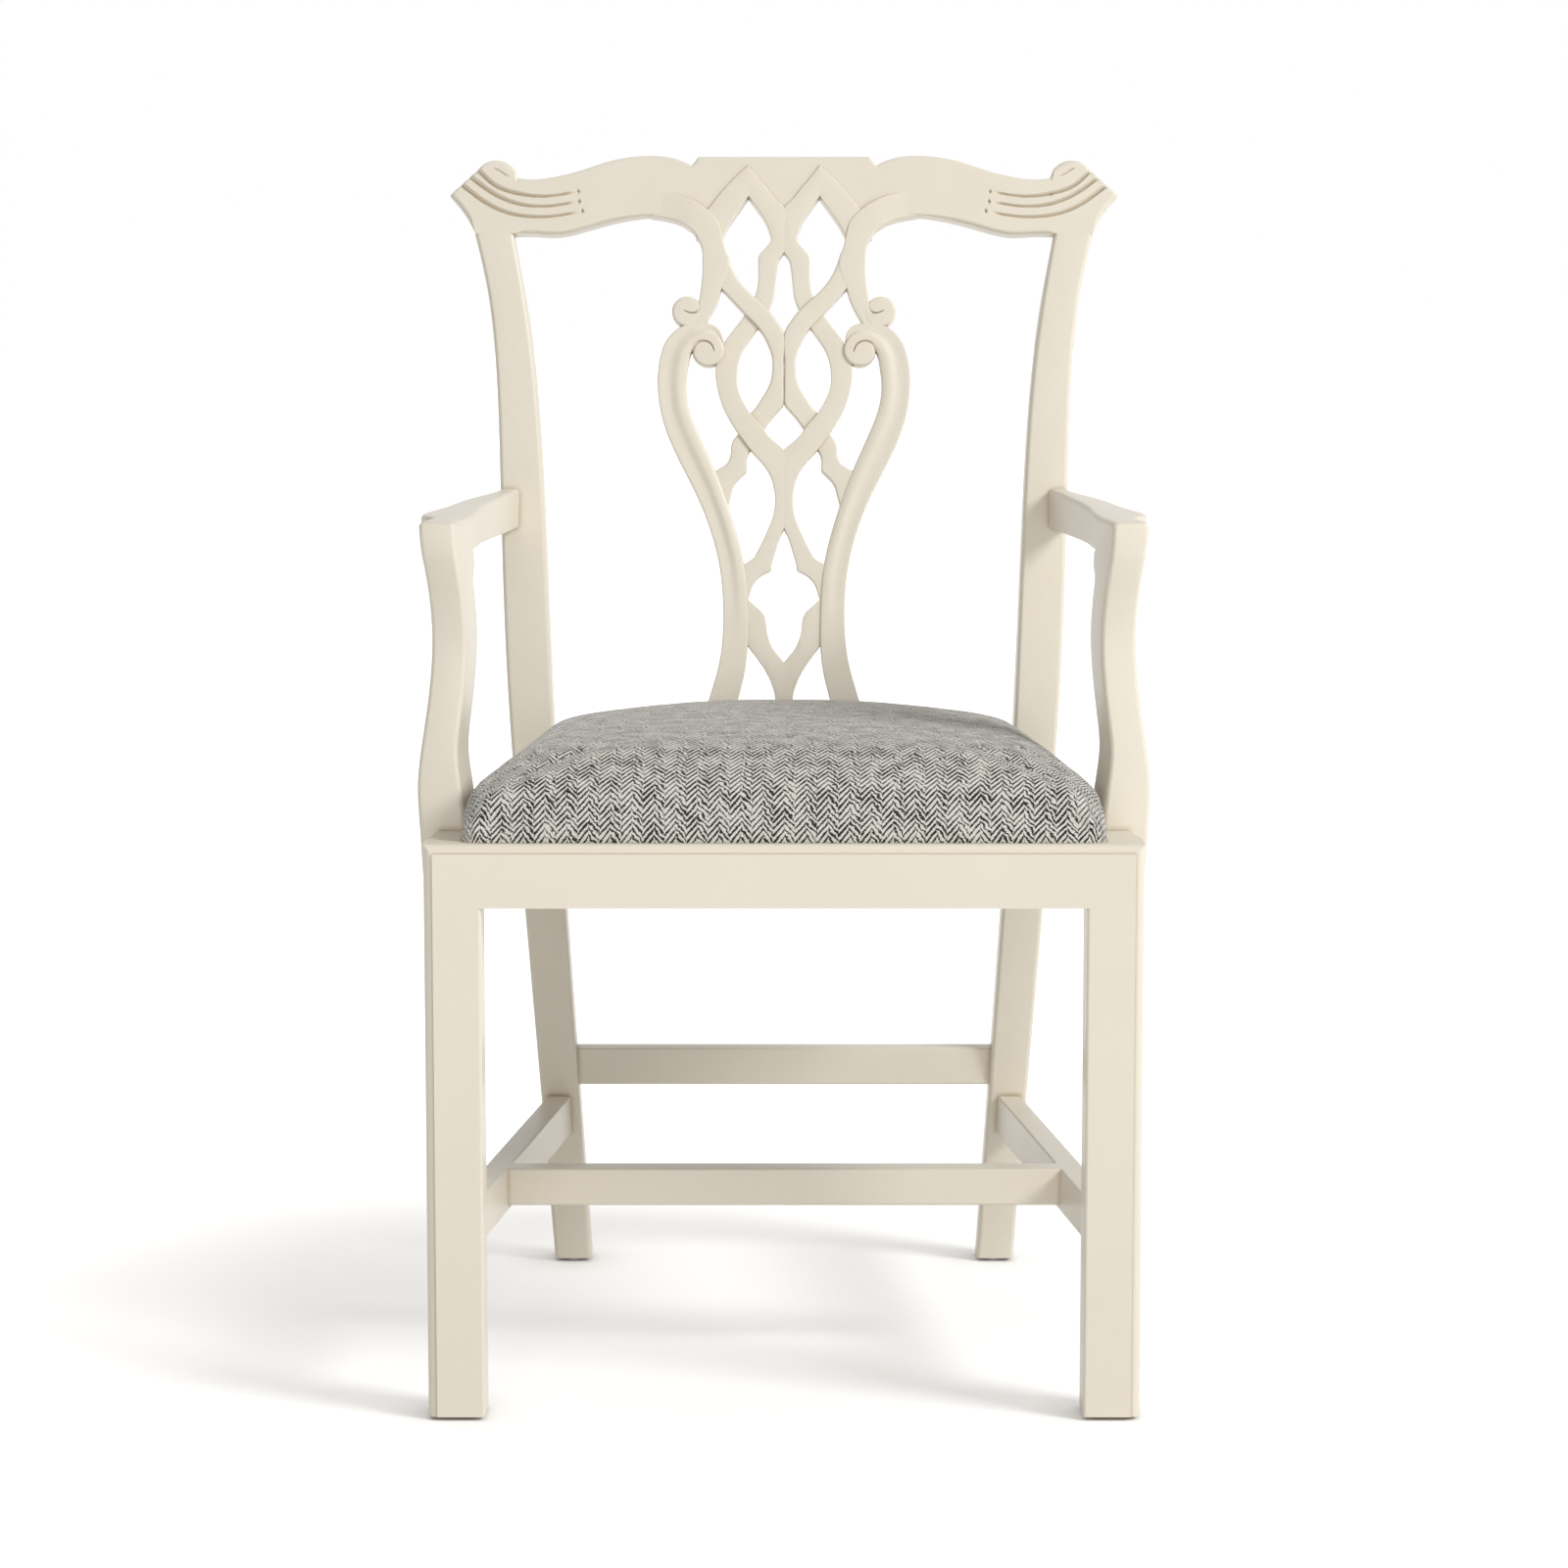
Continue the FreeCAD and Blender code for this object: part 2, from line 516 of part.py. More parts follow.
def seat_slab(inset, corner, z0, z1):
    return Part.Face(seat_outline(inset, corner, z0)).extrude(Vector(0, 0, z1 - z0))


def seat_well():
    """Space that the drop-in seat comes down through."""
    return seat_slab(0.0, SEAT_CORNER + SEAT_GAP, LEDGE_Z, RAIL_TOP + RAIL_HEIGHT)


# Stretchers

def stretcher_line(y):
    """Distance from the centre line to the middle of the side stretcher at a depth."""
    middle_z = (SIDE_STRETCHER[1] + SIDE_STRETCHER[2]) / 2
    y_rear = post_front(middle_z) + FOOT_DEPTH / 2
    x_rear = (post_half(middle_z, 0) + post_half(middle_z, 1)) / 2
    x_front = FRONT_HALF - LEG_SIZE / 2
    return x_front + (x_rear - x_front) * (y - LEG_SIZE) / (y_rear - LEG_SIZE)


def side_stretcher_bar(thickness, y0, y1, z0, z1):
    return plan_bar((-stretcher_line(y0), y0), (-stretcher_line(y1), y1), thickness, z0, z1)


def side_stretcher_blank():
    thickness, z0, z1 = SIDE_STRETCHER
    bar = side_stretcher_bar(thickness, LEG_SIZE, post_front(z0) + FOOT_DEPTH / 2, z0, z1)
    return bar.makeFillet(STRETCHER_EDGE, long_edges(bar, 1, LONG_EDGE))


def side_stretcher_tenons(by=0.0, relief=0.0):
    thickness, z0, z1 = SIDE_STRETCHER
    return side_stretcher_bar(TENON_THICKNESS + 2 * by, LEG_SIZE - TENON_LENGTH - relief,
                              post_front(z1) + TENON_LENGTH + relief,
                              z0 + TENON_SHOULDER - by, z1 - TENON_SHOULDER + by)


def cross_bar(section, y, half):
    """Bar along X with rounded long edges, centred on a depth."""
    thickness, z0, z1 = section
    bar = box(-half, half, y - thickness / 2, y + thickness / 2, z0, z1)
    return bar.makeFillet(STRETCHER_EDGE, long_edges(bar, 0, LONG_EDGE))


def cross_tenons(section, y, half, by=0.0, relief=0.0):
    z0, z1 = section[1:]
    return box(-half - relief, half + relief, y - TENON_THICKNESS / 2 - by, y + TENON_THICKNESS / 2 + by,
               z0 + TENON_SHOULDER - by, z1 - TENON_SHOULDER + by)


MEDIAL_HALF = stretcher_line(MEDIAL_Y)
MEDIAL_REACH = MEDIAL_HALF - SIDE_STRETCHER[0] / 2 + MEDIAL_TENON
REAR_STRETCHER_Z = (REAR_STRETCHER[1] + REAR_STRETCHER[2]) / 2
REAR_STRETCHER_Y = post_front(REAR_STRETCHER_Z) + REAR_STRETCHER_SETBACK + REAR_STRETCHER[0] / 2
REAR_STRETCHER_REACH = post_half(REAR_STRETCHER_Z, 1) + REAR_STRETCHER_TENON


# Arms and arm supports

SUPPORT_X = side_x(SUPPORT_Y)
ARM_BOTTOM = ARM_TOP - ARM_THICKNESS
SUPPORT_HEIGHT = ARM_BOTTOM - RAIL_TOP


def turned_with_side(shape):
    """Turn a shape about the support's axis from square to the line of the left side rail."""
    placed = shape.copy()
    placed.rotate(Vector(-SUPPORT_X, SUPPORT_Y, 0), Vector(0, 0, 1), -math.degrees(SIDE_ANGLE))
    return placed


def support_blank():
    """Left arm support: its S-curve from the front and from the side, with rounded edges."""
    def edge(rows, column, place):
        points = [place(row[column]) + Vector(0, 0, RAIL_TOP + row[0] * SUPPORT_HEIGHT) for row in rows]
        return samples(spline(points).toShape())

    outer, inner = [edge(SUPPORT_FRONT, side, lambda out: Vector(-SUPPORT_X - out, 0, 0)) for side in (1, 2)]
    fore, rear = [edge(SUPPORT_SIDE, side, lambda back: Vector(0, SUPPORT_Y + back, 0)) for side in (1, 2)]
    foot, head = [RAIL_TOP + SUPPORT_FRONT[end][0] * SUPPORT_HEIGHT for end in (0, -1)]
    return shaped_upright(outer, inner, fore, rear, foot, head, SUPPORT_SECTIONS, SUPPORT_EDGE)


def support_bracket():
    """Small ogee bracket behind the head of the left support, under the arm."""
    y0 = SUPPORT_Y + SUPPORT_SIDE[-1][2] - BRACKET_HEIGHT / 2
    y1 = SUPPORT_Y + SUPPORT_SIDE[-1][2] + BRACKET_REACH
    foot = ARM_BOTTOM - 2 * BRACKET_HEIGHT
    cusp = ARM_BOTTOM - BRACKET_HEIGHT
    x0 = -SUPPORT_X - SUPPORT_FRONT[-1][1] + SUPPORT_EDGE
    hollow = Part.Arc(Vector(x0, y1, cusp), Vector(x0, (y0 + 2 * y1) / 3, foot + BRACKET_HEIGHT / 3),
                      Vector(x0, y0, foot)).toShape()
    edges = [hollow, line(Vector(x0, y0, foot), Vector(x0, y0, ARM_BOTTOM)),
             line(Vector(x0, y0, ARM_BOTTOM), Vector(x0, y1, ARM_BOTTOM)),
             line(Vector(x0, y1, ARM_BOTTOM), Vector(x0, y1, cusp))]
    width = SUPPORT_FRONT[-1][1] - SUPPORT_FRONT[-1][2] - 2 * SUPPORT_EDGE
    return Part.Face(Part.Wire(edges)).extrude(Vector(width, 0, 0))


def support_tenon(z0, z1, by=0.0):
    """Tenon on the support's axis, at its foot or its head."""
    across, along, _ = SUPPORT_TENON
    return turned_with_side(grown_box(-SUPPORT_X - across / 2, -SUPPORT_X + across / 2,
                                      SUPPORT_Y - along / 2, SUPPORT_Y + along / 2, z0, z1, by))


def support_foot_tenon(by=0.0):
    tenon = support_tenon(RAIL_TOP - SUPPORT_TENON[2], RAIL_TOP + SUPPORT_TENON[2], by)
    tenon.translate(Vector(SIDE_LIP / 2, 0, 0))
    return tenon


def support_head_tenon(by=0.0):
    return support_tenon(ARM_BOTTOM - SUPPORT_TENON[2], ARM_BOTTOM + SUPPORT_TENON[2], by)


def arm_blank():
    """Left arm: flat on top, broad in the middle, with a cusp behind the hand."""
    rear_y = KNEE_Y + (ARM_TOP - KNEE_Z) * math.tan(RAKE) + POST_TOP_DEPTH / 2
    rear_x = post_half(ARM_TOP - ARM_THICKNESS / 2, 0)
    cusp_y = ARM_FRONT_Y + HAND_LENGTH
    outer = []
    inner = []
    for share, outward, inward in ARM_PLAN:
        x = SUPPORT_X + share * (rear_x - SUPPORT_X)
        y = cusp_y + share * (rear_y - cusp_y)
        outer.append(Vector(-x - outward, y, ARM_BOTTOM))
        inner.append(Vector(-x - inward, y, ARM_BOTTOM))
    front_outer = Vector(-SUPPORT_X - HAND_WIDTH / 2, ARM_FRONT_Y + HAND_SKEW, ARM_BOTTOM)
    front_inner = Vector(-SUPPORT_X + HAND_WIDTH / 2, ARM_FRONT_Y, ARM_BOTTOM)
    bow_outer = (outer[0] + front_outer) * 0.5 - Vector(HAND_HOLLOW[0], 0, 0)
    bow_inner = (inner[0] + front_inner) * 0.5 - Vector(HAND_HOLLOW[1], 0, 0)
    rounding = ARM_EDGE * (1 - math.sqrt(0.5))
    rows = [(front_outer + Vector(0, back, 0), front_inner + Vector(0, back, 0), -drop, 0.0)
            for back, drop in ((0.0, ARM_EDGE), (rounding, rounding), (ARM_EDGE, 0.0))]
    rows.append((bow_outer, bow_inner, 0.0, 0.0))
    plan = [spline(points).toShape().discretize(Number=ARM_SECTIONS) for points in (outer, inner)]
    for step, (a, b) in enumerate(zip(*plan)):
        swell = math.sin(math.pi / 2 * step / (ARM_SECTIONS - 1))
        rows.append((a, b, ARM_SWELL[0] * swell, ARM_SWELL[1] * swell))
    sections = []
    for a, b, lift, drop in rows:
        a = a - Vector(0, 0, drop)
        b = b - Vector(0, 0, drop)
        rise = Vector(0, 0, ARM_THICKNESS + lift + drop)
        edges = [line(a, b)]
        for start, corner, end in ((b, b + rise, (a + b) * 0.5 + rise), ((a + b) * 0.5 + rise, a + rise, a)):
            edges += bent_edges(start, corner, end, ARM_EDGE)
        sections.append(Part.Wire(edges))
    return Part.makeLoft(sections, True, True)


def arm_tenon(by=0.0, relief=0.0):
    z = ARM_TOP - ARM_THICKNESS / 2
    y = KNEE_Y + (z - KNEE_Z) * math.tan(RAKE)
    x = post_half(z, 0) - ARM_REAR_WIDTH / 2
    return box(-x - TENON_THICKNESS / 2 - by, -x + TENON_THICKNESS / 2 + by, y - TENON_LENGTH,
               y + TENON_LENGTH + relief, z - ARM_TENON_HEIGHT / 2 - by, z + ARM_TENON_HEIGHT / 2 + by)


# Screws

def screw(head, direction, length):
    """Wood screw from the middle of its head's face."""
    body = Part.makeCylinder(SCREW_HEAD_RADIUS, SCREW_HEAD_HEIGHT, head, direction)
    return body.fuse(Part.makeCylinder(SCREW_RADIUS, length, head, direction)).removeSplitter()


def screw_hole(head, direction, length):
    """Hole for the same screw, with the driver's way to its head."""
    start = head - direction * SCREW_ACCESS
    depth = SCREW_ACCESS + SCREW_HEAD_HEIGHT
    way = Part.makeCylinder(SCREW_HEAD_RADIUS + SCREW_FIT, depth, start, direction)
    shank = Part.makeCylinder(SCREW_RADIUS + SCREW_FIT, length + SCREW_FIT, head, direction)
    return way.fuse(shank).removeSplitter()


def support_screws(make):
    """Two screws from inside the left side rail into the lap of the arm support, or their holes."""
    out = Vector(-math.cos(SIDE_ANGLE), -math.sin(SIDE_ANGLE), 0)
    screws = []
    for y in (SUPPORT_Y - SUPPORT_SCREW_SPREAD, SUPPORT_Y + SUPPORT_SCREW_SPREAD):
        inner_face = Vector(-side_x(y) + SIDE_RAIL_THICKNESS, y, RAIL_TOP - SUPPORT_SCREW_DROP)
        screws.append(make(inner_face + out * SCREW_HEAD_HEIGHT, out, SUPPORT_SCREW_LENGTH))
    return screws


# Crest rail

def back_points(rows):
    """Points of the left half in the plane of the back from half distance and height above the posts."""
    return [Vector(-row[0], BACK_LENGTH + row[1], 0) for row in rows]


def curve_edge(rows):
    return spline(back_points(rows)).toShape()


def straight_edge(first, last):
    return line(*back_points([first, last]))


def chain(rows):
    return [straight_edge(a, b) for a, b in zip(rows, rows[1:])]


def raised(edges, level):
    """Flat pad on the front of the back, up to a level."""
    return Part.Face(Part.Wire(edges)).extrude(Vector(0, 0, level))


def ear_point(offset):
    return (POST_TOP_HALF + offset[0], offset[1])


def crest_outline():
    """Face of the left half of the crest."""
    joint_outer = (POST_TOP_HALF, 0.0)
    joint_inner = (POST_TOP_HALF - POST_TOP_WIDTH, 0.0)
    tip = ear_point(EAR_TIP)
    rise = [joint_outer] + [ear_point((EAR_TIP[0] * out, EAR_TIP[1] * up)) for out, up in EAR_RISE] + [tip]
    shoulder = ear_point(EAR_SHOULDER)
    scroll_end = ear_point(EAR_SCROLL_END)
    scroll = Part.Arc(*back_points([shoulder, ear_point(EAR_SCROLL), scroll_end])).toShape()
    seam_outer = (NECK_SEAM[0], -SEAM_DROP)
    edges = [curve_edge(rise), straight_edge(tip, shoulder), scroll,
             straight_edge(scroll_end, CREST_UPPER[0]), curve_edge(CREST_UPPER)]
    edges += chain([CREST_UPPER[-1], (CREST_NOTCH, CREST_TOP), (0.0, CREST_TOP), (0.0, -SEAM_DROP),
                    (WAIST_SEAM, -SEAM_DROP), OPENING_INNER[-1]])
    edges += [curve_edge(OPENING_INNER[::-1]), curve_edge(OPENING_OUTER[::-1]),
              straight_edge(OPENING_OUTER[0], seam_outer),
              curve_edge([seam_outer] + CREST_LOWER[::-1] + [joint_inner]),
              straight_edge(joint_inner, joint_outer)]
    return Part.Face(Part.Wire(edges))


def crest_arches():
    """Raised twin arches, the left one and half of the crossing, as far down as the seam."""
    left, right = ARCH_OUTER[:3], ARCH_OUTER[2:]
    edges = [curve_edge(left), curve_edge(right)]
    edges += chain([right[-1], (0.0, -SEAM_DROP), (left[0][0], -SEAM_DROP), left[0]])
    return raised(edges, CREST_RELIEF)


def crest_shoulder():
    """Raised strap that comes out of the crest and turns down into the neck of the splat."""
    start_x = SHOULDER_EDGE[0][0]
    edges = [curve_edge(SHOULDER_EDGE)]
    edges += chain([SHOULDER_EDGE[-1], (start_x, -SEAM_DROP), SHOULDER_EDGE[0]])
    start = -start_x
    low = BACK_LENGTH - CREST_TOP
    slope = [Vector(start - SHOULDER_FADE, low, 0), Vector(start + SHOULDER_FADE, low, SHOULDER_RELIEF),
             Vector(start - SHOULDER_FADE, low, SHOULDER_RELIEF)]
    return raised(edges, SHOULDER_RELIEF).cut(polygon_prism(slope, Vector(0, 2 * CREST_TOP, 0)))


def post_tenon(by=0.0, relief=0.0):
    """Tenon on top of the left post, in the plane of the back."""
    width, thickness, length = CREST_TENON
    middle = -POST_TOP_HALF + POST_TOP_WIDTH / 2
    depth = -CREST_THICKNESS / 2
    return box(middle - width / 2 - by, middle + width / 2 + by, BACK_LENGTH - TENON_SHOULDER,
               BACK_LENGTH + length + relief, depth - thickness / 2 - by, depth + thickness / 2 + by)


def splat_head_tenons(by=0.0, relief=0.0):
    """Tenons of the necks and of the crossing up into the crest, in the plane of the back."""
    seam = BACK_LENGTH - SEAM_DROP
    neck = -(NECK_SEAM[0] + NECK_SEAM[1]) / 2
    neck_half = (NECK_SEAM[0] - NECK_SEAM[1]) / 2 - TENON_SHOULDER
    waist_half = OPENING_INNER[-1][0] - TENON_SHOULDER
    depth = -SPLAT_THICKNESS / 2
    half = SPLAT_TENON_THICKNESS / 2
    return [box(x - width - by, x + width + by, seam - SPLAT_TENON, seam + SPLAT_TENON + relief,
                depth - half - by, depth + half + by)
            for x, width in ((neck, neck_half), (0.0, waist_half), (-neck, neck_half))]


def crest_rail():
    outline = crest_outline()
    relief = crest_arches().fuse(crest_shoulder()).common(outline.extrude(Vector(0, 0, SHOULDER_RELIEF)))
    half = outline.extrude(Vector(0, 0, -CREST_THICKNESS)).fuse(relief)
    half = half.cut(post_tenon(FIT, MORTISE_RELIEF))
    crest = half.fuse(mirrored(half)).removeSplitter()
    return in_back(crest.cut(splat_head_tenons(FIT, MORTISE_RELIEF)))


# Splat and shoe

def strap(rows):
    """Strap of the splat: flat back, and a front whose width and level follow the middle line."""
    middle = spline(back_points(rows))
    fronts = ([], [])
    backs = ([], [])
    for point, row in zip(back_points(rows), rows):
        along = middle.tangent(middle.parameter(point))[0]
        across = Vector(-along.y, along.x, 0) * (row[2] / 2)
        for side, offset in enumerate((across, across * -1)):
            edge_point = point + offset
            fronts[side].append(edge_point + Vector(0, 0, row[3]))
            backs[side].append(edge_point + Vector(0, 0, -SPLAT_THICKNESS))
    front = [spline(points).toShape() for points in fronts]
    back = [spline(points).toShape() for points in backs]
    faces = [Part.makeRuledSurface(front[0], front[1]), Part.makeRuledSurface(back[0], front[0]),
             Part.makeRuledSurface(back[1], front[1])]
    for end in (0, -1):
        faces.append(flat_face([fronts[0][end], fronts[1][end], backs[1][end], backs[0][end]]))
    outline = [back[0], line(backs[0][-1], backs[1][-1]), back[1], line(backs[1][0], backs[0][0])]
    faces.append(Part.Face(Part.Wire(Part.__sortEdges__(outline))))
    return sewn(faces)


def volute(row):
    middle = back_points([row])[0]
    return Part.makeCylinder(row[2], row[3] + SPLAT_THICKNESS, middle - Vector(0, 0, SPLAT_THICKNESS))


SHOE_TOP = RAIL_TOP + SHOE_HEIGHT
SHOE_Y0 = KNEE_Y + SHOE_SETBACK
# Where the back's plane meets the top of the shoe, from the posts' top
SPLAT_FOOT = (SHOE_TOP - KNEE_Z) / math.cos(RAKE) - BACK_LENGTH


def splat_foot_tenon(by=0.0, relief=0.0):
    half = SPLAT_BASE[0] - 2 * TENON_SHOULDER
    y0 = SHOE_Y0 + (SHOE_DEPTH - SPLAT_TENON_THICKNESS) / 2
    return box(-half - by, half + by, y0 - by, y0 + SPLAT_TENON_THICKNESS + by,
               SHOE_TOP - SPLAT_TENON - relief, SHOE_TOP + SPLAT_TENON)


def splat():
    """Interlaced straps of one half, cut on the centre line, and their mirror image."""
    low = SPLAT_FOOT - 2 * TENON_SHOULDER
    scroll = C_SCROLL + [(C_SCROLL_FOOT[0], low) + C_SCROLL_FOOT[1:]]
    foot = FOOT_STRAP + [(FOOT_STRAP_END[0], low) + FOOT_STRAP_END[1:]]
    straps = [strap(rows) for rows in (NECK, scroll, WAIST_STRAP, HEART_STRAP, ARCH_TAIL, foot)]
    straps += [volute(row) for row in VOLUTES]
    base_top = BACK_LENGTH + SPLAT_FOOT + SPLAT_BASE[1]
    straps.append(box(-SPLAT_BASE[0], 0, BACK_LENGTH + low, base_top, -SPLAT_THICKNESS, 0))
    half = straps[0].fuse(straps[1:])
    seam = BACK_LENGTH - SEAM_DROP
    half = half.common(box(-POST_TOP_HALF, 0, BACK_LENGTH + low, seam, -POST_TOP_HALF, POST_TOP_HALF))
    board = half.fuse(mirrored(half)).removeSplitter()
    upper, lower, depth = CENTRE_GROOVE
    level = max(row[3] for row in WAIST_STRAP)
    start = BACK_LENGTH + lower
    groove = [Vector(-2 * depth, start, level + depth), Vector(0, start, level - depth),
              Vector(2 * depth, start, level + depth)]
    board = board.cut(polygon_prism(groove, Vector(0, upper - lower, 0)))
    board = in_back(board.fuse(splat_head_tenons()))
    board = board.cut(box(-POST_TOP_HALF, POST_TOP_HALF, 0, OVERALL_DEPTH, 0, SHOE_TOP))
    return board.fuse(splat_foot_tenon())


def splat_shoe():
    """Block with a coved front edge on the rear rail."""
    block = box(-SHOE_HALF, SHOE_HALF, SHOE_Y0, SHOE_Y0 + SHOE_DEPTH, RAIL_TOP, SHOE_TOP)
    middle = Vector(-SHOE_HALF, SHOE_Y0 + SHOE_COVE_BITE - SHOE_COVE, SHOE_TOP)
    cove = Part.makeCylinder(SHOE_COVE, 2 * SHOE_HALF, middle, Vector(1, 0, 0))
    return block.cut([cove, splat_foot_tenon(FIT, MORTISE_RELIEF)])


# Drop-in seat

SEAT_FRAME_INSET = SEAT_DRAW_IN + COVER_THICKNESS + SOFT_GAP
SEAT_FRAME_Z0 = LEDGE_Z + COVER_THICKNESS
SEAT_FRAME_Z1 = SEAT_FRAME_Z0 + SEAT_RAIL_THICKNESS
SEAT_FRONT_Y = FRONT_LIP + SEAT_FRAME_INSET
SEAT_REAR_Y = KNEE_Y - REAR_LIP - SEAT_FRAME_INSET
FOAM_Z0 = SEAT_FRAME_Z1 + 2 * WEB_THICKNESS


def cushion(offset):
    """Crowned form of the seat, drawn in where it leaves the rebate; offset shrinks it all round."""
    rows = [(LEDGE_Z + offset, SEAT_GAP, SEAT_CORNER), (RAIL_TOP + SEAT_GAP, SEAT_DRAW_IN, SEAT_CORNER)]
    rows += [(RAIL_TOP + row[0] - offset, row[1], row[2]) for row in CROWN]
    rings = []
    for z, inset, corner in rows:
        points = []
        for edge in seat_outline(inset + offset, corner - offset, z).OrderedEdges[::2]:
            points += edge.discretize(Number=CORNER_PANELS + 1)
        rings.append(points)
    return panelled(rings)


def seat_cover():
    """Fabric over the crown, down the sides and turned in under the loose frame."""
    hem = seat_slab(HEM_WIDTH, SEAT_CORNER, LEDGE_Z, SEAT_FRAME_Z0)
    return cushion(0.0).cut([cushion(COVER_THICKNESS), hem])


def seat_foam():
    return cushion(COVER_THICKNESS + SOFT_GAP).cut(seat_slab(0.0, SEAT_CORNER, LEDGE_Z, FOAM_Z0))


def seat_frame_tenons(by=0.0, relief=0.0):
    """Tenons at both ends of the loose frame's left rail, as one bar through it."""
    thickness = SEAT_RAIL_THICKNESS / 3
    inset = SIDE_LIP + SEAT_FRAME_INSET + SEAT_RAIL_WIDTH / 2
    reach = SEAT_RAIL_WIDTH - TENON_LENGTH - relief
    return side_bar(inset, SEAT_RAIL_WIDTH / 2 + 2 * by, SEAT_FRONT_Y + reach, SEAT_REAR_Y - reach,
                    SEAT_FRAME_Z0 + thickness - by, SEAT_FRAME_Z1 - thickness + by)


def seat_frame():
    """Front, rear and left rail of the loose frame."""
    ring = seat_slab(SEAT_FRAME_INSET, SEAT_CORNER, SEAT_FRAME_Z0, SEAT_FRAME_Z1)
    inside = seat_slab(SEAT_FRAME_INSET + SEAT_RAIL_WIDTH, SEAT_CORNER, SEAT_FRAME_Z0, SEAT_FRAME_Z1)
    ring = ring.cut(inside)
    y0 = SEAT_FRONT_Y + SEAT_RAIL_WIDTH
    y1 = SEAT_REAR_Y - SEAT_RAIL_WIDTH
    reach = FRONT_WIDTH
    middle = box(-reach, reach, y0, y1, LEDGE_Z, RAIL_TOP + RAIL_HEIGHT)
    mortise = seat_frame_tenons(FIT, MORTISE_RELIEF)
    ends = ring.cut([middle, mortise, mirrored(mortise)]).Solids
    front, rear = sorted(ends, key=lambda solid: solid.CenterOfMass.y)
    sides = ring.common(middle).Solids
    left = min(sides, key=lambda solid: solid.CenterOfMass.x).fuse(seat_frame_tenons()).removeSplitter()
    return front, rear, left


def webbing_long(index):
    x = (index - (WEB_COUNT - 1) / 2) * WEB_SPACING
    return box(x - WEB_WIDTH / 2, x + WEB_WIDTH / 2, SEAT_FRONT_Y + WEB_MARGIN, SEAT_REAR_Y - WEB_MARGIN,
               SEAT_FRAME_Z1, SEAT_FRAME_Z1 + WEB_THICKNESS)


def webbing_cross(index):
    y = (SEAT_FRONT_Y + SEAT_REAR_Y) / 2 + (index - (WEB_COUNT - 1) / 2) * WEB_SPACING
    half = side_x(y + WEB_WIDTH / 2) - SIDE_LIP - SEAT_FRAME_INSET - WEB_MARGIN
    return box(-half, half, y - WEB_WIDTH / 2, y + WEB_WIDTH / 2, FOAM_Z0 - WEB_THICKNESS, FOAM_Z0)


def dust_cover():
    return seat_slab(DUST_INSET, DUST_CORNER, LEDGE_Z - DUST_THICKNESS, LEDGE_Z)


# Corner blocks

def front_block_blank():
    """Left front block: across the corner between the front rail and the side rail, round the leg."""
    x0 = -FRONT_HALF + LEG_SIZE / 2
    y0 = FRONT_RAIL_THICKNESS
    inner = -FRONT_HALF + LEG_SIZE
    far_y = LEG_SIZE + BLOCK_REACH
    far_x = -side_x(far_y) + SIDE_RAIL_THICKNESS / 2
    points = [Vector(x0, y0, BLOCK_Z), Vector(inner + BLOCK_REACH, y0, BLOCK_Z),
              Vector(far_x, far_y, BLOCK_Z)]
    return polygon_prism(points, Vector(0, 0, BLOCK_HEIGHT))


def rear_block_blank():
    """Left rear block: across the corner between the rear rail and the side rail."""
    y1 = REAR_RAIL_Y0
    corner_x = -side_x(y1) + SIDE_RAIL_THICKNESS / 2
    far_y = y1 - BLOCK_REACH
    far_x = -side_x(far_y) + SIDE_RAIL_THICKNESS / 2
    inner = -side_x(y1) + SIDE_RAIL_THICKNESS + BLOCK_REACH
    points = [Vector(corner_x, y1, BLOCK_Z), Vector(far_x, far_y, BLOCK_Z), Vector(inner, y1, BLOCK_Z)]
    return polygon_prism(points, Vector(0, 0, BLOCK_HEIGHT))


def block_screws(make):
    """Screws of the two left blocks, one into each rail, or their holes."""
    z = BLOCK_Z + BLOCK_HEIGHT / 2
    out = Vector(-math.cos(SIDE_ANGLE), -math.sin(SIDE_ANGLE), 0)
    front_x = -FRONT_HALF + LEG_SIZE + BLOCK_SCREW_ALONG
    front_head = Vector(front_x, FRONT_RAIL_THICKNESS + BLOCK_SCREW_HEAD, z)
    rear_x = -side_x(REAR_RAIL_Y0) + SIDE_RAIL_THICKNESS + BLOCK_SCREW_ALONG
    rear_head = Vector(rear_x, REAR_RAIL_Y0 - BLOCK_SCREW_HEAD, z)
    screws = [make(front_head, Vector(0, -1, 0), BLOCK_SCREW_LENGTH),
              make(rear_head, Vector(0, 1, 0), BLOCK_SCREW_LENGTH)]
    for y in (LEG_SIZE + BLOCK_SCREW_ALONG, REAR_RAIL_Y0 - BLOCK_SCREW_ALONG):
        head = Vector(-side_x(y) + SIDE_RAIL_THICKNESS + BLOCK_SCREW_HEAD, y, z)
        screws.append(make(head, out, BLOCK_SCREW_LENGTH))
    return screws


# Foot glides

def glide(x, y, by=0.0):
    """Round pad with its nail, under the foot at (x, y)."""
    pad = Part.makeCylinder(GLIDE_RADIUS, GLIDE_HEIGHT, Vector(x, y, 0))
    nail = Part.makeCylinder(GLIDE_NAIL_RADIUS + by, GLIDE_HEIGHT + GLIDE_NAIL_LENGTH + by, Vector(x, y, 0))
    return pad.fuse(nail).removeSplitter()


FRONT_GLIDE = (-FRONT_HALF + LEG_SIZE / 2, LEG_SIZE / 2)
REAR_GLIDE = (-POST_FOOT_HALF + POST_FOOT_WIDTH / 2, OVERALL_DEPTH - FOOT_DEPTH / 2)


# Assembly: each piece is scribed to its neighbours, then mortised and tenoned

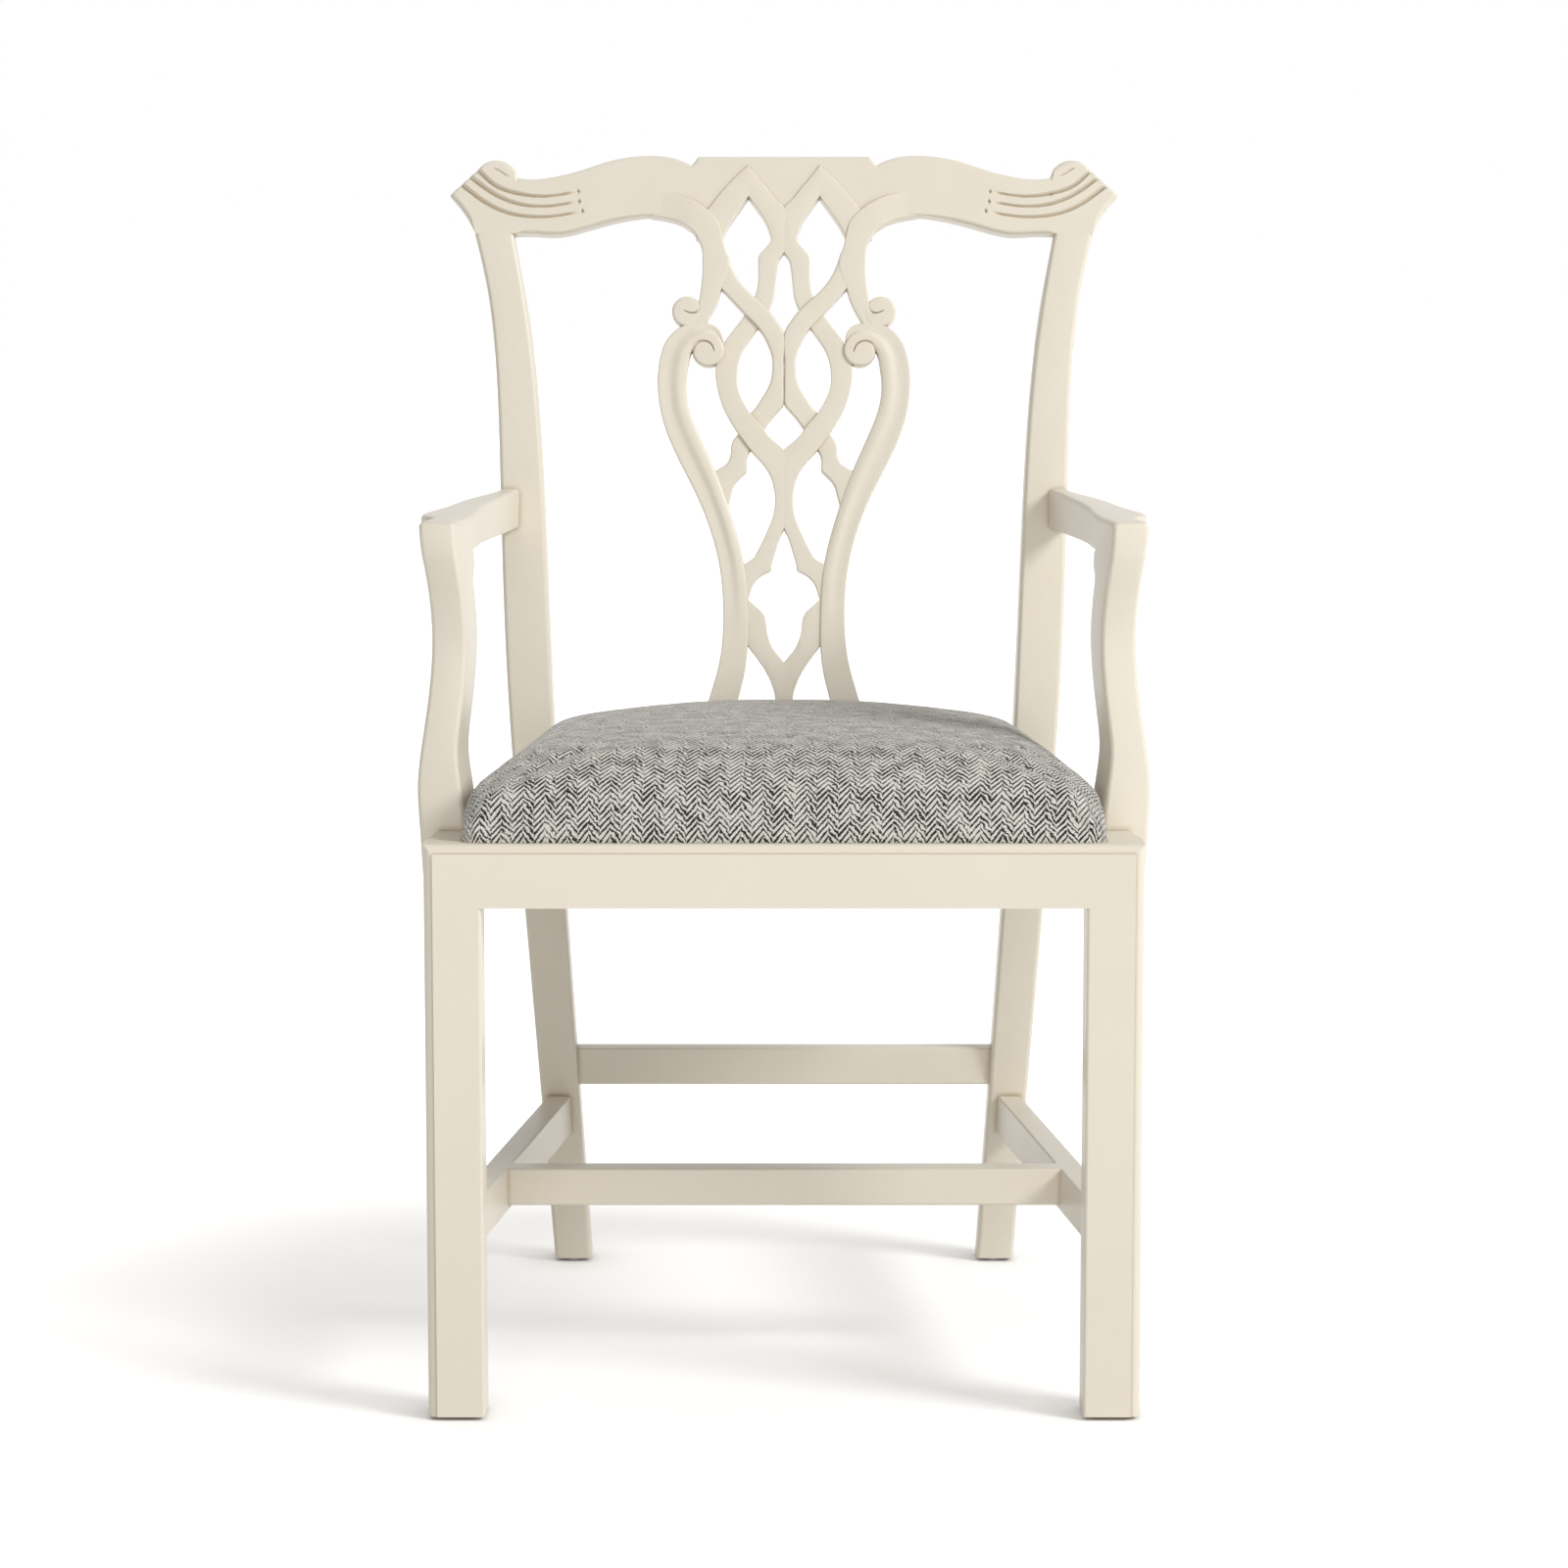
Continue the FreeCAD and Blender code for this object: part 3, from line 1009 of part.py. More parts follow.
def build():
    os.makedirs("parts", exist_ok=True)
    post = post_blank()
    leg = leg_blank()
    side_rail = side_rail_blank().cut(post)
    well = seat_well()

    half = FRONT_HALF - LEG_SIZE
    front_rail = box(-half, half, 0, FRONT_RAIL_THICKNESS, RAIL_BOTTOM, RAIL_TOP)
    front_rail = front_rail.cut([rail_moulding(-FRONT_HALF, FRONT_HALF), well])
    half = POST_SEAT_HALF - POST_SEAT_WIDTH / 2
    rear_rail = box(-half, half, REAR_RAIL_Y0, REAR_RAIL_Y1, RAIL_BOTTOM, RAIL_TOP)
    rear_rail = rear_rail.cut([post, mirrored(post), side_rail, mirrored(side_rail), well])

    side_stretcher = side_stretcher_blank().cut(post)
    medial = cross_bar(MEDIAL_STRETCHER, MEDIAL_Y, MEDIAL_HALF)
    medial = medial.cut([side_stretcher, mirrored(side_stretcher)])
    rear_stretcher = cross_bar(REAR_STRETCHER, REAR_STRETCHER_Y, REAR_STRETCHER_REACH)
    rear_stretcher = rear_stretcher.cut([post, mirrored(post)])

    arm = arm_blank().cut(post)
    support = support_blank().fuse(support_bracket())
    above = box(-FRONT_WIDTH, 0, 0, OVERALL_DEPTH, ARM_BOTTOM, ARM_TOP + ARM_THICKNESS)
    below = box(-FRONT_WIDTH, 0, 0, OVERALL_DEPTH, 0, RAIL_TOP - SUPPORT_DROP)
    support = turned_with_side(support).cut([above, below, side_rail_blank(), arm])

    holes = block_screws(screw_hole)
    front_block = front_block_blank().cut([leg, front_rail, side_rail] + holes)
    rear_block = rear_block_blank().cut([rear_rail, side_rail] + holes)
    holes += support_screws(screw_hole)
    both_holes = holes + [mirrored(hole) for hole in holes]

    # Mortised pieces
    leg = leg.cut([front_rail_tenons(FIT, MORTISE_RELIEF), side_rail_tenons(FIT, MORTISE_RELIEF),
                   side_stretcher_tenons(FIT, MORTISE_RELIEF), well, glide(*FRONT_GLIDE, by=FIT)])
    rear_mortise = cross_tenons(REAR_STRETCHER, REAR_STRETCHER_Y, REAR_STRETCHER_REACH, FIT, MORTISE_RELIEF)
    post = post.cut([rear_rail_tenons(FIT, MORTISE_RELIEF), side_rail_tenons(FIT, MORTISE_RELIEF),
                     side_stretcher_tenons(FIT, MORTISE_RELIEF), arm_tenon(FIT, MORTISE_RELIEF),
                     rear_mortise, glide(*REAR_GLIDE, by=FIT)])
    post = post.fuse(in_back(post_tenon()))
    front_rail = front_rail.fuse(front_rail_tenons()).cut(both_holes)
    rear_rail = rear_rail.fuse(rear_rail_tenons()).cut(both_holes)
    side_rail = side_rail.fuse(side_rail_tenons()).cut([well, support_foot_tenon(FIT)] + holes)
    medial_tenons = cross_tenons(MEDIAL_STRETCHER, MEDIAL_Y, MEDIAL_REACH, FIT, MORTISE_RELIEF)
    side_stretcher = side_stretcher.fuse(side_stretcher_tenons()).cut(medial_tenons)
    medial = medial.fuse(cross_tenons(MEDIAL_STRETCHER, MEDIAL_Y, MEDIAL_REACH))
    rear_stretcher = rear_stretcher.fuse(cross_tenons(REAR_STRETCHER, REAR_STRETCHER_Y, REAR_STRETCHER_REACH))
    arm = arm.fuse(arm_tenon()).cut(support_head_tenon(FIT))
    support = support.fuse([support_foot_tenon(), support_head_tenon()]).cut(holes)

    save_pair("rear_post", post)
    save_pair("front_leg", leg)
    save("front_rail", front_rail)
    save("rear_rail", rear_rail)
    save_pair("side_rail", side_rail)
    save("crest_rail", crest_rail())
    save("splat", splat())
    save("splat_shoe", splat_shoe())
    save_pair("arm", arm)
    save_pair("arm_support", support)
    save_pair("side_stretcher", side_stretcher)
    save("medial_stretcher", medial)
    save("rear_stretcher", rear_stretcher)
    save_pair("corner_block_front", front_block)
    save_pair("corner_block_rear", rear_block)
    left_screws = block_screws(screw)
    save("corner_screws", Part.makeCompound(left_screws + [mirrored(one) for one in left_screws]))
    left_screws = support_screws(screw)
    save("support_screws", Part.makeCompound(left_screws + [mirrored(one) for one in left_screws]))
    save_pair("foot_glide_front", glide(*FRONT_GLIDE))
    save_pair("foot_glide_rear", glide(*REAR_GLIDE))

    seat_front, seat_rear, seat_left = seat_frame()
    save("seat_frame_front", seat_front)
    save("seat_frame_rear", seat_rear)
    save_pair("seat_frame", seat_left)
    for index in range(WEB_COUNT):
        save("webbing_long_%d" % (index + 1), webbing_long(index))
        save("webbing_cross_%d" % (index + 1), webbing_cross(index))
    save("seat_foam", seat_foam())
    save("seat_cover", seat_cover())
    save("dust_cover", dust_cover())


build()
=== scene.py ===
"""Looks of a painted armchair with an interlaced splat and a drop-in seat in herringbone tweed."""

import math

import bpy
import numpy as np
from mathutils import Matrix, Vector


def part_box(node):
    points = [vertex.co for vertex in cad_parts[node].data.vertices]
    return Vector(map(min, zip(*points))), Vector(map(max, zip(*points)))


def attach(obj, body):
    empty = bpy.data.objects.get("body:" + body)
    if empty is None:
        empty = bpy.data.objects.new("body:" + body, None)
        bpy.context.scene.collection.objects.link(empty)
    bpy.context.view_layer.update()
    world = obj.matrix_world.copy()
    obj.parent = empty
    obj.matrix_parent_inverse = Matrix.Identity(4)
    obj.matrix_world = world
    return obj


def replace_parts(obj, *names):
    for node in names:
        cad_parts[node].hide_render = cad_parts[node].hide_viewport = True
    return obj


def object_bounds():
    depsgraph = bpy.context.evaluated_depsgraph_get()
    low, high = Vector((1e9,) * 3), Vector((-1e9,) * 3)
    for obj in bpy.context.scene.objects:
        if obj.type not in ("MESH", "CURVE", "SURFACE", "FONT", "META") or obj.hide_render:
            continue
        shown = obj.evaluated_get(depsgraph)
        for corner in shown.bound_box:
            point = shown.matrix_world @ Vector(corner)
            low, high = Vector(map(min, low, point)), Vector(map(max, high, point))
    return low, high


bl_info = {
    "name": "Painted armchair",
    "version": (1, 0, 0),
    "blender": (4, 5, 0),
    "location": "View3D > Sidebar > Armchair",
    "description": "Carved crest and splat, stuffed seat, finishes and studio of a painted armchair",
    "category": "Object",
}

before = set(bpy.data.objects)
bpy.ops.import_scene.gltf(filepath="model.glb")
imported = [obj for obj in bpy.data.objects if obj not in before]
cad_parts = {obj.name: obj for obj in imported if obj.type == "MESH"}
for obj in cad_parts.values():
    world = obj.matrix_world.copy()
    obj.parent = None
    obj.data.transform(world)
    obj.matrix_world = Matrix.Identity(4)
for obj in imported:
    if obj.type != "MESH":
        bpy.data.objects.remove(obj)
CAD_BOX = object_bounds()

MM = 0.001
PER_MM = 1 / MM
FRAME_BODY = "frame"
SEAT_BODY = "drop_in_seat"
SIDES = ((-1, "left"), (1, "right"))

# The plane of the back: its knee line, rake and the height of the posts' top up the rake, in mm
HALF_DEPTH = round(CAD_BOX[1][1] / MM, 3)
KNEE_Y = 451.0 - HALF_DEPTH
KNEE_Z = 455.0
RAKE = math.radians(9.0)
POST_TOP = 482.0
CREST_BACK = -24.0
SPLAT_BACK = -15.0
STRAP_CHAMFER = 0.6
# Carving: a quirk's upper wall and depth, both at its stop and at the ear, its lower wall and its stop;
# the crest's edges by the straps, on top and at the ear's scroll, and the ear's eye; a volute's dome, rim
# and cut; and the scroll's bead, hollow and flat
QUIRK_WALL, QUIRK_DEPTH, QUIRK_FOOT, STOP_DEPTH = (1.5, 3.7), (1.9, 3.2), 1.1, 2.4
CREST_CRISP, CREST_HEAD, EAR_HEAD, EYE_DEPTH = 1.3, 2.2, 4.6, 1.2
VOLUTE_DOME, VOLUTE_RIM, VOLUTE_CUT = 0.6, 2.0, 1.9
BEAD_FALL, HOLLOW_FALL, FLAT_RISE = 1.8, 1.7, 0.6

# Crest of the left half: half distance from the centre line and height above the posts' top, in mm
CREST_FLAT = [(0.0, 68.3), (75.3, 68.3)]
CREST_UPPER = [
    (81.4, 60.5), (93.0, 65.8), (120.3, 69.2), (154.9, 64.2), (180.9, 55.7), (202.5, 50.5), (219.8, 48.3),
    (235.0, 49.3),
]
EAR_SCROLL = [(238.0, 57.4), (245.5, 63.4), (254.5, 65.3), (263.0, 63.0), (270.0, 57.4)]
EAR_TIP = (295.1, 34.0)
EAR_RISE = [(272.5, 0.0), (277.0, 9.5), (284.0, 21.1), EAR_TIP]
CREST_LOWER = [(137.6, 14.4), (172.2, 5.8), (202.4, -0.6), (221.5, 0.3), (238.5, 0.0)]
# Lower edge of the field where the arches and the shoulder straps cover it
COVERED_EDGE = [
    (0.0, 14.0), (6.0, 18.0), (12.0, 27.0), (18.0, 35.0), (31.5, 48.0), (42.0, 34.0), (50.0, 22.0),
    (58.0, 12.0), (66.0, 7.0), (74.0, 6.0), (81.3, 8.0), (94.3, 14.5), (115.9, 17.0),
]
EAR_EYE = [(255.8, 57.8, 0.3), (251.6, 55.6, 1.0), (247.4, 53.0, 0.9), (243.6, 51.0, 0.3)]
# Three quirks of the ear's reeding, from the ear's end towards the middle
REEDING = [
    [(269.7, 54.4), (255.3, 41.8), (236.2, 35.1), (217.5, 32.7), (198.8, 34.1), (182.8, 37.4)],
    [(276.7, 48.7), (255.3, 33.7), (236.2, 26.1), (217.5, 23.8), (198.8, 25.3), (181.9, 28.5)],
    [(284.7, 42.1), (264.4, 27.0), (245.7, 18.3), (226.9, 14.8), (208.1, 14.8), (189.5, 17.6), (179.1, 20.1)],
]

# Straps of the left half: the two edges as half distance and height, and the level of the front.
# The outer leg of an arch, its inner leg with the crossing and the tail below it, the shoulder strap
# with the neck, and the straps of the splat down to its foot
ARCH_LEG = [
    (31.4, 33.1, 31.7, 60.6, 1.6), (38.1, 23.6, 45.1, 48.1, 1.6), (45.1, 13.7, 56.0, 36.1, 1.6),
    (50.5, 5.2, 66.7, 22.6, 1.6), (54.2, -3.3, 75.8, 8.7, 1.4), (56.5, -11.3, 78.0, -3.3, 1.2),
]
ARCH_CROSS = [
    (31.4, 33.1, 31.7, 60.6, 1.6), (25.2, 24.6, 22.2, 48.6, 1.6), (18.3, 14.7, 13.3, 38.1, 1.6),
    (14.3, 6.7, 5.9, 29.1, 1.6), (12.0, -0.3, -1.5, 20.5, 1.6), (11.1, -4.1, -1.5, 10.7, 1.6),
    (12.3, -7.8, -1.5, 0.7, 1.6), (15.8, -12.3, -1.5, -8.3, 1.6), (19.8, -16.7, -0.4, -16.2, 1.6),
    (22.2, -20.4, 3.2, -21.0, 1.6), (22.7, -28.2, 5.7, -27.7, 1.3), (22.6, -38.2, 7.0, -38.2, 0.9),
    (23.2, -46.1, 8.0, -48.1, 0.4), (24.7, -53.1, 9.7, -58.1, 0.0), (26.7, -57.6, 13.8, -67.6, -0.4),
    (30.2, -62.1, 17.3, -72.0, -0.8),
]
SHOULDER_STRAP = [
    (119.7, 35.7, 117.9, 16.0, -0.8), (94.3, 34.8, 94.3, 11.0, 1.2), (78.7, 28.6, 85.6, 6.4, 2.4),
    (66.9, 20.6, 80.3, 2.4, 2.6), (57.5, 9.2, 76.8, -3.0, 2.6), (53.2, -9.3, 72.9, -11.3, 2.6),
    (48.6, -23.0, 71.8, -23.2, 2.4), (49.5, -34.0, 71.9, -36.0, 2.2), (54.6, -47.0, 73.0, -47.0, 2.0),
    (57.6, -57.0, 74.6, -58.0, 1.8), (62.3, -68.0, 77.0, -68.0, 1.7), (68.0, -78.0, 80.5, -78.0, 1.6),
    (73.0, -88.0, 84.5, -88.0, 1.4),
]
WAIST_STRAP = [
    (64.2, -32.0, 50.0, -17.0, 1.9), (60.0, -42.0, 44.0, -34.0, 1.9), (55.7, -48.8, 38.1, -43.8, 1.8),
    (46.6, -58.6, 31.2, -51.6, 1.7), (36.0, -70.1, 25.2, -57.1, 1.6), (25.4, -80.7, 13.8, -67.6, 1.6),
    (16.6, -93.1, 5.0, -79.0, 1.6), (12.2, -103.7, 0.0, -89.0, 1.6), (10.4, -114.3, 0.0, -110.8, 1.6),
    (10.9, -124.9, 0.0, -128.5, 1.2), (13.9, -135.5, 0.0, -143.4, 0.6), (20.1, -146.2, 1.0, -152.3, 0.0),
    (25.4, -154.1, 7.8, -160.3, -0.4), (29.8, -158.9, 17.4, -173.0, -0.8),
    (36.0, -168.8, 24.5, -183.3, -0.8), (41.2, -178.0, 29.8, -192.1, -0.5),
    (45.1, -183.3, 32.2, -197.1, -0.2), (46.7, -188.6, 32.8, -201.8, 0.0),
    (47.0, -194.4, 32.9, -209.8, 0.0), (48.8, -200.6, 35.8, -213.3, 0.0), (53.2, -205.4, 41.0, -218.6, 0.0),
    (58.8, -208.9, 44.7, -224.3, 0.0), (63.3, -211.6, 46.5, -231.0, 0.0), (66.8, -215.3, 48.4, -238.0, 0.0),
    (68.0, -224.0, 53.0, -252.0, 0.0),
]
HEART_STRAP = [
    (22.8, -52.4, 11.3, -63.0, -1.2), (35.1, -72.4, 23.6, -84.2, -0.8), (43.0, -83.3, 30.7, -94.0, -0.3),
    (50.1, -92.7, 36.0, -102.8, 0.2), (56.3, -103.7, 39.8, -112.6, 0.6), (59.4, -114.3, 41.3, -123.2, 0.8),
    (60.5, -123.2, 41.1, -132.9, 0.9), (59.6, -132.9, 38.6, -142.6, 1.0), (56.2, -147.0, 34.2, -151.5, 1.2),
    (50.6, -160.3, 28.0, -161.2, 1.4), (43.0, -173.0, 19.7, -170.6, 1.5), (34.2, -185.6, 10.4, -182.4, 1.5),
    (25.4, -196.2, -1.5, -194.0, 1.4), (17.4, -205.4, -1.5, -206.3, 1.3), (12.2, -214.2, -1.5, -215.1, 1.2),
    (9.0, -224.8, -1.5, -224.8, 1.2), (7.9, -235.4, -1.5, -235.4, 1.2), (9.2, -247.8, -1.5, -247.8, 1.2),
    (12.7, -258.4, -0.6, -259.6, 1.1), (16.6, -267.2, 2.8, -267.2, 1.0), (20.4, -275.1, 6.0, -276.0, 0.9),
    (24.5, -283.1, 8.6, -284.8, 0.8), (28.0, -287.8, 10.9, -293.6, 0.7), (32.4, -290.6, 11.8, -298.1, 0.6),
    (35.0, -292.4, 14.8, -299.8, 0.5), (37.7, -294.5, 21.0, -303.3, 0.4), (39.4, -298.1, 25.4, -307.8, 0.3),
    (39.4, -305.1, 28.5, -313.9, 0.2), (38.6, -312.2, 30.3, -320.1, 0.2), (37.7, -319.2, 31.9, -323.6, 0.2),
]
FOOT_STRAP = [
    (39.4, -316.6, 39.4, -357.1, 0.2), (35.0, -319.8, 35.9, -360.3, 0.2), (31.5, -323.3, 32.4, -363.8, 0.3),
    (28.0, -326.8, 28.9, -368.6, 0.5), (23.6, -330.7, 25.3, -373.3, 0.7), (19.2, -334.7, 22.5, -377.4, 0.8),
    (16.4, -340.4, 19.7, -381.3, 0.9), (15.5, -346.9, 17.2, -385.0, 0.9), (14.4, -354.5, 15.0, -389.2, 1.0),
    (12.0, -361.7, 12.8, -393.4, 1.0), (7.6, -369.8, 11.1, -398.0, 1.0), (-1.5, -382.2, 9.1, -403.8, 1.0),
    (-1.5, -394.1, 8.1, -409.1, 1.0), (-1.5, -404.7, 7.6, -413.5, 1.0), (-1.5, -450.0, 7.0, -452.0, 1.0),
]
# Scroll of the splat: half distance, height, width and level of the front along its middle line
C_SCROLL = [
    (55.5, -96.0, 4.0, 2.7), (62.0, -88.6, 12.0, 2.9), (71.0, -86.4, 14.0, 3.0), (81.5, -89.6, 20.0, 3.0),
    (91.5, -98.5, 24.0, 2.8), (97.3, -116.0, 26.0, 2.6), (98.7, -131.0, 25.5, 2.4),
    (95.6, -158.0, 25.5, 2.2), (86.0, -184.0, 26.0, 2.1), (69.0, -220.5, 24.0, 2.0),
    (53.7, -261.8, 21.6, 2.0), (45.6, -296.0, 21.8, 2.0), (42.7, -340.0, 21.6, 2.0),
    (45.7, -382.8, 23.7, 2.0), (53.3, -412.0, 24.7, 2.0), (64.0, -452.0, 26.0, 2.0),
]
FOOT_BAR = (80.0, -440.5, -454.0)
# Volutes: middle, radius, level, angle where the strap joins, and the spiral's cut, from the middle, as
# outward, up and half width
VOLUTES = [
    ("small", (85.4, -69.2), 13.3, 1.8, math.radians(200),
     [(-10.3, 9.4, 0.9), (-11.1, 3.6, 1.1), (-8.8, 0.0, 1.0), (-3.6, -1.2, 0.7), (2.6, 0.9, 0.3)]),
    ("large", (66.8, -103.3), 14.3, 2.8, math.radians(75),
     [(14.1, -2.5, 1.6), (10.6, 5.8, 1.4), (3.6, 7.9, 1.2), (-2.6, 4.9, 1.0), (-5.3, -1.3, 0.4)]),
]

# Rear post: height, outer and inner edge from the centre line, in mm in the chair's frame
POST_EDGES = [
    (0.0, 208.5, 175.5), (230.0, 223.5, 188.0), (460.0, 238.5, 200.5), (575.1, 245.5, 206.2),
    (720.1, 250.3, 212.8), (826.1, 255.0, 221.5), (878.1, 261.1, 229.0), (945.1, 276.5, 241.3),
]
POST_FOOT_Y, POST_HEEL_Y = 254.0, 288.0
POST_DEPTH, POST_TOP_DEPTH = 40.0, 24.0
POST_SPARE = 40.0
POST_REAR_EDGE = 3.0
# The top of the post turns square to the rake over this height
POST_TILT = 80.0
KNEE_REACH = 90.0
GLIDE_HEIGHT = 3.0

# Arm support: its axis, its turn with the side rail, its foot, and the arm's top and underside; then height,
# outer and inner edge outward of the axis, and height, front and rear edge behind the axis
SUPPORT_X, SUPPORT_Y = 272.0, 115.0 - HALF_DEPTH
SUPPORT_TURN = math.radians(6.13)
SUPPORT_FOOT, ARM_TOP, ARM_BOTTOM = 424.0, 705.5, 678.5
SUPPORT_REAR_EDGE = 2.5
SUPPORT_FRONT = [
    (420.0, 14.0, -22.0), (466.6, 16.2, -21.4), (496.3, 17.8, -17.3), (520.3, 16.2, -14.1),
    (546.3, 13.0, -15.7), (614.7, 8.0, -20.4), (668.9, 11.2, -17.3), (690.0, 13.8, -15.4),
    (710.0, 14.6, -15.0),
]
SUPPORT_SIDE = [
    (420.0, -29.0, 23.0), (479.7, -30.0, 26.0), (514.6, -24.0, 31.0), (560.5, -15.0, 37.5),
    (606.4, -11.0, 41.0), (641.4, -17.0, 36.5), (652.0, -20.0, 34.5), (658.0, -22.0, 36.0),
    (662.5, -23.3, 42.0), (667.0, -24.7, 47.0), (672.5, -26.2, 48.5), (677.5, -27.6, 48.5),
    (680.0, -28.0, 44.0), (683.0, -28.4, 42.0), (690.0, -29.0, 42.0), (710.0, -29.0, 42.0),
]
# Plan of the arm: depth, outer and inner edge from the centre line
ARM_HAND = [(-194.0, 286.5, 260.2), (-168.1, 284.6, 257.4), (-138.0, 283.2, 254.2)]
ARM_RUN = [
    (-138.0, 283.2, 254.2), (-130.2, 288.4, 252.9), (-56.9, 287.8, 251.2), (59.5, 272.0, 245.2),
    (175.9, 252.6, 235.1), (214.7, 250.0, 232.5),
]
# The arm thickens this much above and below on its way to the post, and lies a hair proud of the support
ARM_SWELL = (2.5, 4.0)
ARM_PROUD = 0.1
ARM_LOWER_EDGE = 1.0

# Seat: the rebate's front, rear and half widths at both, and the rails' top, in mm in the chair's frame
SEAT_FRONT, SEAT_REAR = -276.5, 160.0
SEAT_HALF_FRONT, SEAT_HALF_REAR = 256.3, 209.4
RAIL_TOP = 460.0
# Rings of the cushion: height, inset from the rebate, and the radii of its front and rear corners
CUSHION = [
    (446.3, 1.5, 9, 9), (454.0, 1.5, 9, 9), (461.5, 1.0, 10, 12), (470.0, -0.5, 12, 20),
    (482.0, -1.0, 16, 34), (492.0, -0.5, 22, 54), (501.0, 1.0, 30, 78), (508.5, 4.5, 38, 104),
    (514.6, 10.5, 46, 128), (519.4, 18.0, 56, 150), (523.2, 28.0, 66, 166), (526.0, 41.0, 76, 168),
    (528.2, 58.0, 84, 156), (529.8, 78.0, 88, 136), (531.0, 102.0, 84, 102), (531.8, 128.0, 62, 64),
    (532.2, 150.0, 36, 36),
]
# How much lower the stuffing lies at its sides, and twice that at the rear corners, in mm
SIDE_DROOP = 4.5
# The upper rings lie this much further in at the rear
REAR_DRAW = 0.35
CORNER_POINTS = 20
SWELL_FRAMES = 20
# Where the three straps of webbing across a strap lie, from its middle
WEB_CROSSINGS = np.array([-105.0, 0.0, 105.0])
LINING_CORNER, LINING_BELLY, LINING_THICKNESS = 66.0, 1.2, 0.5


# Numbers

def linear(hex_colour):
    """An sRGB hex colour as linear RGBA."""
    channels = np.array([int(hex_colour[i:i + 2], 16) for i in (1, 3, 5)]) / 255
    low, high = channels / 12.92, ((channels + 0.055) / 1.055) ** 2.4
    return (*np.where(channels <= 0.04045, low, high).tolist(), 1.0)


def hex_prop(label, description, hex_colour):
    """A colour that the panel shows, from its sRGB hex."""
    return bpy.props.FloatVectorProperty(name=label, description=description, subtype="COLOR", size=4,
                                         min=0.0, max=1.0, default=linear(hex_colour))


def length_prop(label, description, millimetres):
    """A length that the panel shows."""
    return bpy.props.FloatProperty(name=label, description=description, unit="LENGTH", precision=5,
                                   default=millimetres * MM)


def amount_prop(label, description, amount, unit="NONE"):
    """A plain number or a power that the panel shows."""
    return bpy.props.FloatProperty(name=label, description=description, default=amount, unit=unit)


def smooth(rows, count, columns=2):
    """Natural cubic spline through rows of numbers, by the chord length of their first columns.

    Between two rows the second derivative runs straight, and it is zero at both ends.
    """
    p = np.asarray(rows, float)
    t = np.r_[0.0, np.cumsum(np.linalg.norm(np.diff(p[:, :columns], axis=0), axis=1))]
    h = np.diff(t)
    inner = np.arange(1, len(p) - 1)
    system = np.eye(len(p))
    system[inner, inner - 1] = h[:-1]
    system[inner, inner] = 2 * (h[:-1] + h[1:])
    system[inner, inner + 1] = h[1:]
    slope = np.diff(p, axis=0) / h[:, None]
    bend = np.zeros_like(p)
    bend[inner] = 6 * np.diff(slope, axis=0)
    m = np.linalg.solve(system, bend)
    s = np.linspace(0.0, t[-1], count)
    k = np.clip(np.searchsorted(t, s, side="right") - 1, 0, len(p) - 2)
    w = h[k][:, None]
    after, before = (s - t[k])[:, None], (t[k + 1] - s)[:, None]
    return ((m[k] * before ** 3 + m[k + 1] * after ** 3) / (6 * w)
            + (p[k] / w - m[k] * w / 6) * before + (p[k + 1] / w - m[k + 1] * w / 6) * after)


def in_back(x, height, level):
    """Points of the tilted back, in metres: x across, height above the posts' top, level out of the front."""
    s = POST_TOP + height
    return np.stack([x, KNEE_Y + s * math.sin(RAKE) - level * math.cos(RAKE),
                     KNEE_Z + s * math.cos(RAKE) + level * math.sin(RAKE)], axis=-1) * MM


def rounded_rings(a0, a1, b0, b1, radii):
    """Coordinates of rings round rectangles that vary from ring to ring: a quarter circle at each corner."""
    turn = np.linspace(0.0, math.pi / 2, 8)
    rings = ([], [])
    for a, b, in_a, in_b, start, r in ((a0, b0, 1, 1, 2, radii[0]), (a1, b0, -1, 1, 3, radii[1]),
                                       (a1, b1, -1, -1, 0, radii[2]), (a0, b1, 1, -1, 1, radii[3])):
        angle = start * math.pi / 2 + turn
        rings[0].append((a + in_a * r)[:, None] + r * np.cos(angle))
        rings[1].append((b + in_b * r)[:, None] + r * np.sin(angle))
    return np.concatenate(rings[0], 1), np.concatenate(rings[1], 1)


def unit(vectors):
    """Vectors brought to length one."""
    return vectors / np.linalg.norm(vectors, axis=-1, keepdims=True)


def eased(share):
    """0 below 0, 1 above 1, and a smooth step between."""
    s = np.clip(share, 0.0, 1.0)
    return s * s * (3 - 2 * s)


# Meshes

def quads(rows, columns):
    """Corner numbers of the quads of a grid whose columns join round."""
    i, j = np.meshgrid(np.arange(rows - 1), np.arange(columns), indexing="ij")
    here, beside = i * columns + j, i * columns + (j + 1) % columns
    return np.stack([here, beside, beside + columns, here + columns], -1).reshape(-1, 4)


def volume(points, faces):
    """Signed volume inside triangles and quads: the sum over their fans of a . (b x c) / 6."""
    total = 0.0
    for face in (faces[:, [0, 1, 2]], faces[:, [0, 2, 3]]):
        a, b, c = (points[face[:, i]] for i in range(3))
        total += np.einsum("ij,ij->", a, np.cross(b, c)) / 6
    return total


